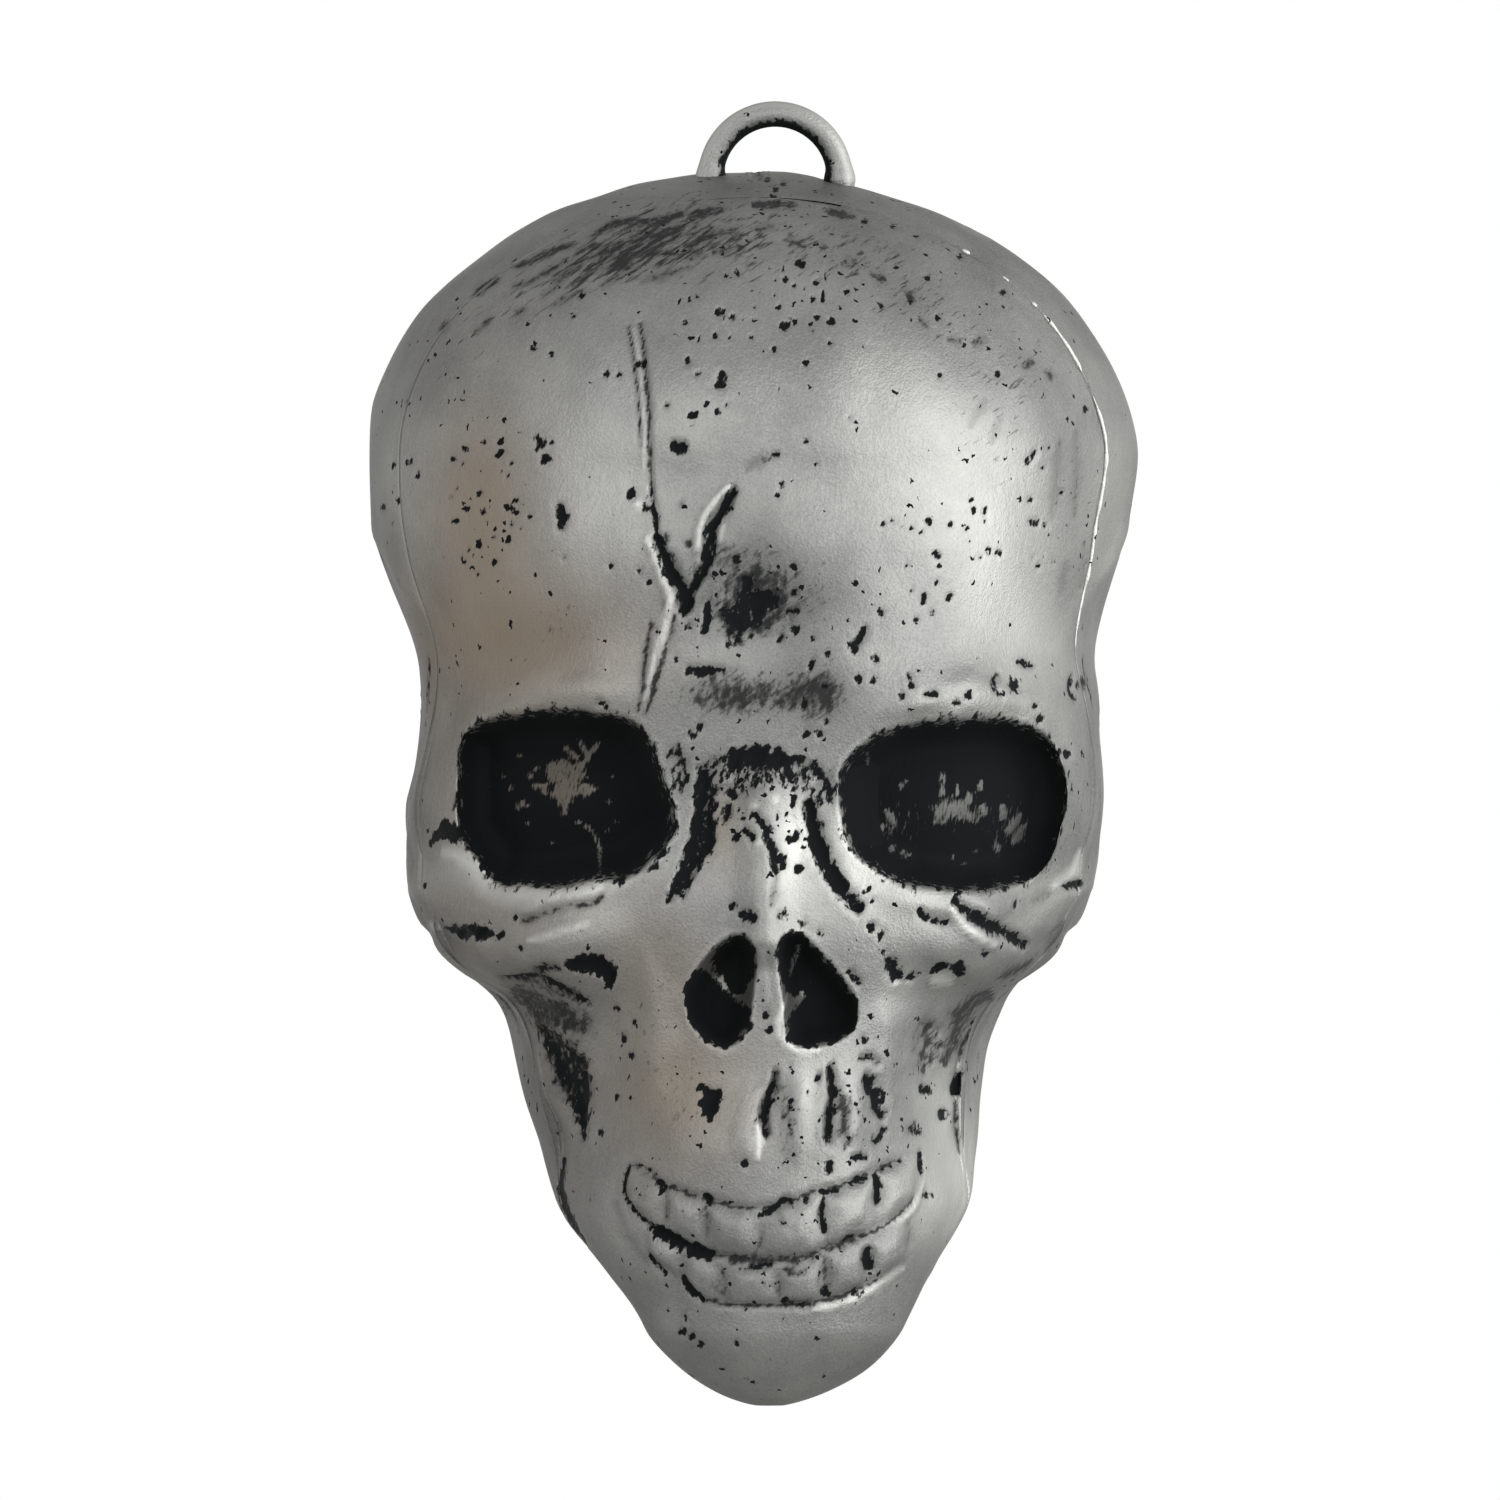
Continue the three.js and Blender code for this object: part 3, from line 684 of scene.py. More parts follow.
@dataclass(frozen=True)
class FaceRelief:
    """The sunk and raised forms of the face."""

    form: SkullForm
    eye_spread: float = 25.2
    eye_height: float = 77.4
    eye_half: tuple[float, float] = (14.4, 11.8)
    eye_depth: float = 9.0
    nose_spread: float = 5.9
    nose_height: float = 53.0
    nose_half: tuple[float, float] = (5.2, 7.6)
    nose_depth: float = 5.5
    eye_power: float = 2.7
    bridge_rise: float = 2.2
    bridge_half: float = 4.5
    bridge_top: tuple[float, float] = (84.0, 79.5)
    bridge_foot: tuple[float, float] = (55.5, 60.0)
    brow_rise: float = 1.6
    brow_height: float = 92.0
    brow_half: tuple[float, float] = (19.0, 7.0)
    cheek_rise: float = 1.8
    cheek_at: tuple[float, float] = (27.5, 61.0)
    cheek_half: float = 9.0
    hollow_depth: float = 3.2
    hollow_at: tuple[float, float] = (22.5, 41.0)
    hollow_half: tuple[float, float] = (7.0, 12.0)
    glabella_depth: float = 1.3
    glabella_height: float = 101.0
    glabella_half: float = 8.0
    fade: float = 0.35
    deepest: float = -22.0
    sockets: tuple[Socket, ...] = (
        Socket(px("465,732 491,717 537,709 581,709 631,717 652,739 661,769 679,823 670,841 634,878 599,878 "
                  "556,888 527,885 497,885 479,859 462,838 458,814 459,780 460,751"),
               depth=9.0, slope=4.6, dome=2.0),
        Socket(px("840,765 859,746 885,729 916,722 948,717 992,716 1036,729 1051,742 1059,761 1066,786 "
                  "1065,807 1059,824 1054,849 1043,868 1024,883 1000,887 975,893 937,888 908,887 889,877 "
                  "872,866 853,854 843,835 838,807 837,786"), depth=9.0, slope=4.6, dome=2.0),
        Socket(px("686,989 698,966 711,950 723,939 739,931 754,940 758,963 754,985 751,1016 746,1030 "
                  "729,1047 707,1039 695,1025 687,1014"), depth=5.5, slope=3.0),
        Socket(px("776,945 787,931 801,933 814,945 828,961 842,979 856,998 857,1016 851,1030 835,1039 "
                  "801,1044 787,1037 785,1023 780,982"), depth=5.5, slope=3.0),
    )

    def shape(self, x: Array, z: Array, along: Array, y: Array, grow: float) -> Array:
        """Sinks and raises the plain skin of the face.

        Args:
            x: Places across the face.
            z: Heights.
            along: How squarely each point faces forward.
            y: Places of the plain skin.
            grow: How far an inner skin keeps clear of the sunk forms, 0 for the outer skin.

        Returns:
            The y places of the shaped skin.
        """
        across = np.abs(x - self.form.face_middle(z))
        brow = np.hypot(
            (across - self.eye_spread) / self.brow_half[0], (z - self.brow_height) / self.brow_half[1])
        cheek = np.hypot(across - self.cheek_at[0], z - self.cheek_at[1]) / self.cheek_half
        hollow = np.hypot(
            (across - self.hollow_at[0]) / (self.hollow_half[0] + grow),
            (z - self.hollow_at[1]) / (self.hollow_half[1] + grow))
        bridge = hump(across / self.bridge_half) * smooth(*self.bridge_top, z) * smooth(*self.bridge_foot, z)
        glabella = np.hypot(across, z - self.glabella_height) / self.glabella_half
        sunk = self.glabella_depth * hump(glabella) + self.hollow_depth * hump(hollow)
        if grow > 0.0:
            eye = (np.abs(across - self.eye_spread) / (self.eye_half[0] + grow)) ** self.eye_power
            eye = eye + (np.abs(z - self.eye_height) / (self.eye_half[1] + grow)) ** self.eye_power
            nose = np.hypot(
                (across - self.nose_spread) / (self.nose_half[0] + grow),
                (z - self.nose_height) / (self.nose_half[1] + grow))
            sunk = sunk + self.eye_depth * smooth(1.0, 0.4, eye ** (1.0 / self.eye_power))
            sunk = sunk + self.nose_depth * smooth(1.0, 0.3, nose)
        else:
            sunk = sunk + sum(socket.sink(x, z) for socket in self.sockets)
        raised = self.brow_rise * hump(brow) + self.cheek_rise * hump(cheek) + self.bridge_rise * bridge
        fade = smooth(0.0, self.fade, along)
        floor = np.maximum(y, self.deepest + 0.5 * (grow > 0.0))
        return np.minimum(y + sunk * fade, floor) - raised * fade


class Wall(NamedTuple):
    """A closed shell as points and faces, with the parts that are treated apart."""

    points: Array
    faces: list[tuple[int, ...]]
    outer: Array
    rim: Array


@dataclass(frozen=True)
class ShellGrid:
    """Rows and columns of one shell: an outer skin, an inner skin and the rim between them."""

    form: SkullForm
    relief: FaceRelief
    side: Side
    edge: float
    rows: int
    columns: int
    crowding: float
    inner_step: int = 10
    wall: float = WALL
    turn_steps: tuple[float, float] = (0.03, 0.02)
    row_gap: float = 0.12
    samples: int = 401
    clearance: float = 1.5
    pole: float = 0.2

    def ends(self, inset: float) -> tuple[float, float]:
        """Finds the lowest and the highest height of the shell's edge.

        Args:
            inset: Depth of the skin below the outer surface.

        Returns:
            The two heights where the parting plane just touches the skin.
        """
        def chin(z: float) -> float:
            """How far the chin's rear reaches past the plane."""
            s = self.form.section(np.array(z), inset)
            return float(s.axis + s.to_back) - self.edge

        def crown(z: float) -> float:
            """How far the crown's front lies behind the plane."""
            s = self.form.section(np.array(z), inset)
            return float(s.axis - s.to_front) - self.edge

        low = bisect(chin, inset + 1e-6, self.form.chin_round)
        return low, bisect(crown, self.form.vault, self.form.height - inset)

    def heights(self) -> Array:
        """Spaces the rows evenly along the profile, and closer where the rim turns over.

        Returns:
            The heights of the outer skin's rows.
        """
        low, high = self.ends(0.0)
        top = high if self.side is Side.FACE else self.form.height
        base = 0.0 if self.side is Side.FACE else low
        z = base + (top - base) * 0.5 * (1.0 - np.cos(np.linspace(0.0, math.pi, 4000)))
        s = self.form.section(z, 0.0)
        y = s.axis - s.to_front if self.side is Side.FACE else s.axis + s.to_back
        run = np.concatenate([[0.0], np.cumsum(np.hypot(np.diff(y), np.diff(z)))])
        even = np.interp(np.linspace(0.0, run[-1], self.rows), run, z)
        lower, upper = self.turn_steps
        turns = np.concatenate([low + lower * np.arange(9) ** 2, high - upper * np.arange(7) ** 2])
        if self.side is Side.BACK:
            turns = np.concatenate([turns, high + upper * np.arange(1, 7) ** 2])
        clear = np.abs(even[:, None] - turns[None]).min(1) > self.row_gap
        clear[[0, -1]] = True
        return np.unique(np.concatenate([even[clear], turns]))

    def skin(self, z: Array, shares: Array, inset: float) -> Array:
        """Lays columns round each row at even steps.

        Args:
            z: Heights of the rows.
            shares: Places of the columns as shares of a row's length.
            inset: Depth of the skin below the outer surface.

        Returns:
            Points by row and column.
        """
        cut = self.form.edge_angle(z, self.edge, inset)
        start = -cut if self.side is Side.FACE else cut
        sweep = 2.0 * cut if self.side is Side.FACE else 2.0 * (math.pi - cut)
        fine = np.linspace(0.0, 1.0, self.samples)
        x, y, _ = self.form.skin(z[:, None], start[:, None] + sweep[:, None] * fine, inset)
        run = np.cumsum(np.hypot(np.diff(x, axis=1), np.diff(y, axis=1)), axis=1)
        run = np.concatenate([np.zeros((len(z), 1)), run], axis=1)
        turn = np.tile(shares, (len(z), 1))
        for i in np.flatnonzero(run[:, -1] > 1e-6):
            turn[i] = np.interp(shares * run[i, -1], run[i], fine)
        high = np.repeat(z[:, None], len(shares), axis=1)
        x, y, along = self.form.skin(high, start[:, None] + sweep[:, None] * turn, inset)
        x = x + self.form.trim(x, high)
        y = self.relief.shape(x, high, along, y, self.clearance * inset)
        open_row = (cut > 1e-4) & (cut < math.pi - 1e-4)
        y[open_row, 0] = self.edge
        y[open_row, -1] = self.edge
        points = np.stack([x, y, high], axis=2)
        shut = ~open_row
        points[shut, -1] = points[shut, 0]
        pole = run[:, -1] < self.pole
        points[pole] = points[pole].mean(axis=1, keepdims=True)
        return points

    def build(self) -> Wall:
        """Joins both skins and the rim into one closed shell.

        Returns:
            The shell.
        """
        z = self.heights()
        low, high = self.ends(0.0)
        deep_low, deep_high = self.ends(self.wall)
        base = (0.0, self.wall) if self.side is Side.FACE else (low, deep_low)
        top = (high, deep_high) if self.side is Side.FACE else (
            self.form.height, self.form.height - self.wall)
        deep = np.interp(z, [base[0], low, high, top[0] + 1e-6], [base[1], deep_low, deep_high, top[1]])
        u = np.linspace(-1.0, 1.0, self.columns)
        shares = 0.5 + 0.5 * (u - self.crowding * np.sin(math.pi * u) / math.pi)
        few = shares[:: self.inner_step]
        outer = self.skin(z, shares, 0.0)
        inner = self.skin(deep, few, self.wall)
        rows = len(z)
        ids = np.arange(rows * self.columns).reshape(rows, self.columns)
        inside = rows * self.columns + np.arange(rows * len(few)).reshape(rows, len(few))
        quads = [self.sheet(ids), self.sheet(inside)[:, ::-1]]
        rim = np.flatnonzero((z[:-1] > low - 1e-9) & (z[1:] < high + 1e-9))
        quads.append(np.stack([ids[rim, 0], ids[rim + 1, 0], inside[rim + 1, 0], inside[rim, 0]], axis=1))
        quads.append(np.stack([ids[rim + 1, -1], ids[rim, -1], inside[rim, -1], inside[rim + 1, -1]], axis=1))
        points = np.concatenate([outer.reshape(-1, 3), inner.reshape(-1, 3)])
        _, first, same = np.unique(np.round(points, 5), axis=0, return_index=True, return_inverse=True)
        same = same.ravel()
        faces = []
        for quad in same[np.concatenate(quads)].tolist():
            ring = [v for i, v in enumerate(quad) if v != quad[i - 1]]
            if len(set(ring)) == len(ring) and len(ring) > 2:
                faces.append(tuple(ring))
        points = points[first]
        on_rim = np.zeros(len(points), bool)
        rows_cut = np.concatenate([rim, rim[-1:] + 1])
        on_rim[same[ids[rows_cut, 0]]] = True
        on_rim[same[ids[rows_cut, -1]]] = True
        return Wall(points, faces, first < rows * self.columns, on_rim)

    @staticmethod
    def sheet(ids: Array) -> Array:
        """The faces of a sheet of rows and columns."""
        return np.stack([ids[:-1, :-1], ids[:-1, 1:], ids[1:, 1:], ids[1:, :-1]], axis=2).reshape(-1, 4)


def corner_table(faces: list[tuple[int, ...]]) -> Array:
    """Lists the corners of faces, four each, with a triangle's last corner given twice."""
    return np.array([face if len(face) == 4 else face + face[-1:] for face in faces])


def point_normals(points: Array, corners: Array) -> Array:
    """Averages the faces' directions at each point.

    Args:
        points: The points.
        corners: Four corners for each face.

    Returns:
        One unit direction for each point.
    """
    p = points[corners]
    flat = np.cross(p[:, 2] - p[:, 0], p[:, 3] - p[:, 1])
    total = np.stack([
        sum(np.bincount(corners[:, k], flat[:, axis], len(points)) for k in range(4))
        for axis in range(3)], axis=1)
    return total / np.maximum(np.linalg.norm(total, axis=1, keepdims=True), 1e-12)


def relaxed(points: Array, corners: Array, rounds: int) -> Array:
    """Draws each point to the mean of its neighbours.

    Args:
        points: The points.
        corners: Four corners for each face.
        rounds: How many times to do so.

    Returns:
        The smoothed points.
    """
    one = corners.ravel()
    two = np.roll(corners, -1, axis=1).ravel()
    ends = np.concatenate([one, two])
    others = np.concatenate([two, one])
    count = np.maximum(np.bincount(ends, minlength=len(points)), 1)
    for _ in range(rounds):
        points = np.stack(
            [np.bincount(ends, points[others, k], len(points)) / count for k in range(3)], axis=1)
    return points


@dataclass(frozen=True)
class Place:
    """Where the skull's own frame lies in the part."""

    origin: Array

    @classmethod
    def from_frame(cls, edge: float) -> "Place":
        """Reads the skull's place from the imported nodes.

        Args:
            edge: The y place of the face shell's rear edge in the skull's frame.

        Returns:
            The place.
        """
        low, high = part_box("back_shell")
        face_low, face_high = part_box("face_shell")
        return cls(np.array([0.5 * (low.x + high.x), face_high.y - edge * MM, face_low.z]))

    def metres(self, points: Array) -> Array:
        """Turns skull millimetres into the part's metres."""
        return points * MM + self.origin

    def millimetres(self, points: Array) -> Array:
        """Turns the part's metres into skull millimetres."""
        return (points - self.origin) / MM


def new_piece(name: str, points: Array, faces: list[tuple[int, ...]], edges: Pairs = ()) -> bpy.types.Object:
    """Makes a mesh object and puts it in the scene.

    Args:
        name: The piece's name.
        points: Points in metres.
        faces: Corners of the faces.
        edges: Ends of loose edges.

    Returns:
        The object.
    """
    mesh = bpy.data.meshes.new(name)
    mesh.from_pydata(points.tolist(), list(edges), faces)
    mesh.update()
    piece = bpy.data.objects.new(name, mesh)
    bpy.context.scene.collection.objects.link(piece)
    return piece


def store(mesh: bpy.types.Mesh, name: str, values: Array) -> None:
    """Keeps one number for each point of a mesh."""
    layer = mesh.attributes.get(name) or mesh.attributes.new(name, "FLOAT", "POINT")
    layer.data.foreach_set("value", np.ascontiguousarray(values, dtype=np.float32))


def store_paints(mesh: bpy.types.Mesh, paints: dict[str, Any]) -> None:
    """Keeps the share of each paint for each point of a mesh.

    Args:
        mesh: The mesh.
        paints: One share, or one for each point, by the paint's name, none being 0.
    """
    for name in PAINTS:
        share = np.clip(paints.get(name, 0.0), 0.0, 1.0)
        store(mesh, name, np.broadcast_to(share, len(mesh.vertices)))


def mesh_points(mesh: bpy.types.Mesh, key: str = "co") -> Array:
    """Reads the places or the normals of a mesh's points.

    Args:
        mesh: The mesh.
        key: What to read, "co" or "normal".

    Returns:
        One row for each point.
    """
    values = np.empty(len(mesh.vertices) * 3, np.float32)
    mesh.vertices.foreach_get(key, values)
    return values.reshape(-1, 3).astype(float)


def settle(piece: bpy.types.Object) -> None:
    """Turns what a piece's modifiers give into its plain mesh.

    Args:
        piece: The object to settle.
    """
    graph = bpy.context.evaluated_depsgraph_get()
    old = piece.data
    name = old.name
    mesh = bpy.data.meshes.new_from_object(piece.evaluated_get(graph))
    piece.modifiers.clear()
    piece.data = mesh
    bpy.data.meshes.remove(old)
    mesh.name = name


class Joint(Enum):
    """How a solid is joined to a piece."""

    ADD = "UNION"
    CUT = "DIFFERENCE"


def carve(piece: bpy.types.Object, joint: Joint, solids: list[bpy.types.Object]) -> None:
    """Adds solids to a piece or cuts them out of it, and removes them.

    Args:
        piece: The object to change.
        joint: Whether to add or to cut.
        solids: The closed solids.
    """
    for solid in solids:
        step = piece.modifiers.new(solid.name, "BOOLEAN")
        step.operation = joint.value
        step.solver = "MANIFOLD"
        step.object = solid
    settle(piece)
    for solid in solids:
        bpy.data.objects.remove(solid)


def node_tool(name: str, inputs: dict[str, str], output: str) -> bpy.types.NodeTree:
    """Starts a tree of Geometry Nodes.

    Args:
        name: The tree's name.
        inputs: The kind of each input by its name.
        output: The name of the geometry that it gives.

    Returns:
        The tree, with no nodes yet.
    """
    tree = bpy.data.node_groups.new(name, "GeometryNodeTree")
    for label, kind in inputs.items():
        tree.interface.new_socket(label, in_out="INPUT", socket_type=f"NodeSocket{kind}")
    tree.interface.new_socket(output, in_out="OUTPUT", socket_type="NodeSocketGeometry")
    return tree


def run_tool(piece: bpy.types.Object, tree: bpy.types.NodeTree, values: dict[str, Any]) -> None:
    """Runs a tree of Geometry Nodes on a piece and keeps the result as its plain mesh.

    Args:
        piece: The object to change.
        tree: The tree.
        values: The inputs by name.
    """
    modifier = piece.modifiers.new(tree.name, "NODES")
    modifier.node_group = tree
    for item in tree.interface.items_tree:
        if item.in_out == "INPUT" and item.name in values:
            modifier[item.identifier] = values[item.name]
    settle(piece)
    outward(piece.data)


def outward(mesh: bpy.types.Mesh) -> None:
    """Turns all faces of a closed mesh outwards.

    Args:
        mesh: The mesh.
    """
    shape = bmesh.new()
    shape.from_mesh(mesh)
    bmesh.ops.recalc_face_normals(shape, faces=shape.faces)
    shape.to_mesh(mesh)
    shape.free()


def finish_piece(piece: bpy.types.Object, material: bpy.types.Material, slot: str, *nodes: str) -> None:
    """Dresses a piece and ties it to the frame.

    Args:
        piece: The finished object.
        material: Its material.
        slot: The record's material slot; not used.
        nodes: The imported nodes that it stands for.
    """
    piece.data.materials.clear()
    piece.data.materials.append(material)
    piece.data.polygons.foreach_set("material_index", np.zeros(len(piece.data.polygons), np.int32))
    piece.data.shade_smooth()
    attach(piece, "root")
    if nodes:
        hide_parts(*nodes)
    LOG.info("%s: %d faces", piece.name, len(piece.data.polygons))


def add_node(
        tree: bpy.types.NodeTree, kind: str, inputs: dict | None = None, **settings: Any) -> bpy.types.Node:
    """Adds a node to a tree, with its settings and links.

    Args:
        tree: The node tree.
        kind: The node's type.
        inputs: A value, or the socket or the node to link, for each input by name or number. A node is linked
            by its first output.
        settings: Properties of the node.

    Returns:
        The node.
    """
    node = tree.nodes.new(kind)
    for key, value in settings.items():
        setattr(node, key, value)
    for key, value in (inputs or {}).items():
        if isinstance(value, bpy.types.Node):
            value = value.outputs[0]
        if isinstance(value, bpy.types.NodeSocket):
            tree.links.new(value, node.inputs[key])
        else:
            node.inputs[key].default_value = value
    return node


def linear(code: str) -> tuple[float, float, float, float]:
    """Turns an sRGB hex colour into Blender's linear colour.

    Args:
        code: The colour as #RRGGBB.

    Returns:
        Red, green, blue and alpha.
    """
    parts = [int(code[i:i + 2], 16) / 255.0 for i in (1, 3, 5)]
    red, green, blue = [c / 12.92 if c <= 0.04045 else ((c + 0.055) / 1.055) ** 2.4 for c in parts]
    return red, green, blue, 1.0


def new_material(name: str) -> tuple[bpy.types.Material, bpy.types.NodeTree]:
    """Starts a material with an empty node tree.

    Args:
        name: The material's name.

    Returns:
        The material and its tree.
    """
    material = bpy.data.materials.new(name)
    material.use_nodes = True
    material.node_tree.nodes.clear()
    return material, material.node_tree


@dataclass(frozen=True)
class AntiqueSilver:
    """Satin silver paint brushed over black plastic: painted highlights on the swells, black left in cracks
    and pits, painted shade and reflections.
    """

    silver: str = "#8D8D8A"
    shade: str = "#757574"
    # Colour of the painted highlights.
    bright: str = "#C2C2BE"
    # Colour of the painted warm reflection.
    warm: str = "#8C8071"
    black: str = "#1B1C1D"
    metallic: float = 0.82
    silver_roughness: float = 0.36
    black_roughness: float = 0.55
    edge_size: float = 0.8
    blot_size: float = 2.4
    mottle_size: float = 14.0
    speck_size: float = 1.0
    grain_size: float = 0.32
    bump: float = 0.00012
    bare_edge: tuple[float, float] = (1.38, 1.62)
    film_edge: tuple[float, float] = (1.42, 2.1)
    film_most: float = 0.9
    dry_edge: tuple[float, float] = (1.3, 1.75)
    dry_most: float = 0.88
    haze: float = 0.42
    worn_edge: tuple[float, float] = (1.2, 1.5)
    worn_least: float = 0.5
    tone_edge: tuple[float, float] = (0.6, 1.0)

    def make(self) -> bpy.types.Material:
        """Builds the paint: where black shows, how the silver varies, and its grain.

        Returns:
            The material.
        """
        material, tree = new_material("antique_silver_paint")
        place = add_node(tree, "ShaderNodeTexCoord").outputs["Object"]
        mm = add_node(tree, "ShaderNodeVectorMath", {0: place, "Scale": 1000.0}, operation="SCALE")
        # Dry bristles leave short upright flecks at the edge of the black.
        upright = add_node(tree, "ShaderNodeMapping", {
            "Vector": mm, "Rotation": (0.0, 0.3, 0.0), "Scale": (1.0, 1.0, 1.9)}, vector_type="TEXTURE")
        # Brush marks slant up to the right, a few millimetres long.
        slanted = add_node(tree, "ShaderNodeMapping", {
            "Vector": mm, "Rotation": (0.0, -0.6, 0.0), "Scale": (4.2, 2.4, 0.55)}, vector_type="TEXTURE")
        edge, blot, mottle, brush, grain = (
            add_node(tree, "ShaderNodeTexNoise", {
                "Vector": at, "Scale": 1.0 / size, "Detail": detail, "Roughness": rough})
            for at, size, detail, rough in (
                (upright, self.edge_size, 3.0, 0.62), (mm, self.blot_size, 2.0, 0.5),
                (mm, self.mottle_size, 4.0, 0.6), (slanted, 1.0, 4.0, 0.62), (mm, self.grain_size, 2.0, 0.5)))
        layer = {
            name: add_node(tree, "ShaderNodeAttribute", attribute_name=name).outputs["Fac"]
            for name in PAINTS}
        dark = self.darkness(tree, layer, mm, edge, blot, brush)
        colour = self.colour(tree, layer, dark, mottle, grain)
        metal = add_node(tree, "ShaderNodeMapRange", {
            "Value": dark, "To Min": self.metallic, "To Max": 0.0})
        rough = add_node(tree, "ShaderNodeMapRange", {
            "Value": dark, "To Min": self.silver_roughness, "To Max": self.black_roughness})
        rough = add_node(tree, "ShaderNodeMath", {0: blot, 1: 0.12, 2: rough}, operation="MULTIPLY_ADD")
        height = add_node(tree, "ShaderNodeMath", {0: edge, 1: 1.2, 2: grain}, operation="MULTIPLY_ADD")
        height = add_node(tree, "ShaderNodeMath", {0: dark, 1: -0.6, 2: height}, operation="MULTIPLY_ADD")
        relief = add_node(tree, "ShaderNodeBump", {
            "Height": height, "Strength": 0.6, "Distance": self.bump})
        shader = add_node(tree, "ShaderNodeBsdfPrincipled", {
            "Base Color": colour, "Metallic": metal, "Roughness": rough, "Normal": relief,
            "Specular IOR Level": 0.03, "Specular Tint": linear("#9A9A9A")})
        add_node(tree, "ShaderNodeOutputMaterial", {"Surface": shader})
        return material

    def darkness(
            self, tree: bpy.types.NodeTree, layer: dict, mm: Any, edge: Any, blot: Any, brush: Any) -> Any:
        """Works out how much black plastic shows.

        Args:
            tree: The material's tree.
            layer: The paint layers kept on the mesh.
            mm: Places in millimetres.
            edge: Fine noise for ragged edges.
            blot: Coarse noise for ragged edges.
            brush: Streaks of the brush.

        Returns:
            The socket of the black share.
        """
        ragged = add_node(
            tree, "ShaderNodeMath", {0: edge, 1: 1.5, 2: layer["bare"]}, operation="MULTIPLY_ADD")
        ragged = add_node(tree, "ShaderNodeMath", {0: blot, 1: 0.5, 2: ragged}, operation="MULTIPLY_ADD")
        bare = add_node(tree, "ShaderNodeMapRange", {
            "Value": ragged, "From Min": self.bare_edge[0], "From Max": self.bare_edge[1]},
            interpolation_type="SMOOTHSTEP")
        film = add_node(
            tree, "ShaderNodeMath", {0: brush, 1: 0.9, 2: layer["wash"]}, operation="MULTIPLY_ADD")
        film = add_node(tree, "ShaderNodeMath", {0: edge, 1: 1.2, 2: film}, operation="MULTIPLY_ADD")
        film = add_node(tree, "ShaderNodeMapRange", {
            "Value": film, "From Min": self.film_edge[0], "From Max": self.film_edge[1],
            "To Max": self.film_most}, interpolation_type="SMOOTHSTEP")
        dry = add_node(
            tree, "ShaderNodeMath", {0: brush, 1: 1.9, 2: layer["streak"]}, operation="MULTIPLY_ADD")
        dry = add_node(tree, "ShaderNodeMapRange", {
            "Value": dry, "From Min": self.dry_edge[0], "From Max": self.dry_edge[1],
            "To Max": self.dry_most}, interpolation_type="SMOOTHSTEP")
        film = add_node(tree, "ShaderNodeMath", {0: film, 1: dry}, operation="MAXIMUM")
        # Specks are drawn in bent cells, so that no two have the same outline.
        bend = add_node(
            tree, "ShaderNodeTexNoise", {"Vector": mm, "Scale": 1.1, "Detail": 2.0}).outputs["Color"]
        bent = add_node(tree, "ShaderNodeVectorMath", {0: bend, 1: (1.6, 1.6, 1.6), 2: mm},
                        operation="MULTIPLY_ADD")
        cells = add_node(tree, "ShaderNodeTexVoronoi", {"Vector": bent, "Scale": 1.0 / self.speck_size})
        chance = add_node(tree, "ShaderNodeSeparateColor", {0: cells.outputs["Color"]})
        size = add_node(
            tree, "ShaderNodeMath", {0: chance.outputs["Green"], 1: 0.3, 2: 0.4}, operation="MULTIPLY_ADD")
        reach = add_node(tree, "ShaderNodeMath", {0: edge, 1: 0.6, 2: cells.outputs["Distance"]},
                         operation="MULTIPLY_ADD")
        spot = add_node(tree, "ShaderNodeMath", {0: reach, 1: size}, operation="LESS_THAN")
        chosen = add_node(
            tree, "ShaderNodeMath", {0: chance.outputs["Red"], 1: layer["speck"]}, operation="LESS_THAN")
        speck = add_node(tree, "ShaderNodeMath", {0: spot, 1: chosen}, operation="MULTIPLY")
        # Wash also darkens softly: thin black paint, and painted shade where the marks put shadow.
        haze = add_node(
            tree, "ShaderNodeMath", {0: layer["wash"], 1: self.haze}, operation="MULTIPLY", use_clamp=True)
        dark = bare
        for more in (film, speck, haze):
            dark = add_node(tree, "ShaderNodeMath", {0: dark, 1: more}, operation="MAXIMUM")
        # Silver in the hollows lies in hairlines that single bristles left.
        hairs = add_node(tree, "ShaderNodeMapping", {
            "Vector": mm, "Rotation": (0.0, 0.12, 0.0), "Scale": (0.28, 0.28, 1.4)}, vector_type="TEXTURE")
        hairs = add_node(tree, "ShaderNodeTexNoise", {"Vector": hairs, "Scale": 1.0, "Detail": 2.0})
        worn = add_node(
            tree, "ShaderNodeMath", {0: hairs, 1: 1.4, 2: layer["scuff"]}, operation="MULTIPLY_ADD")
        worn = add_node(tree, "ShaderNodeMapRange", {
            "Value": worn, "From Min": self.worn_edge[0], "From Max": self.worn_edge[1], "To Min": 1.0,
            "To Max": self.worn_least})
        return add_node(tree, "ShaderNodeMath", {0: dark, 1: worn},
                        operation="MULTIPLY", use_clamp=True)

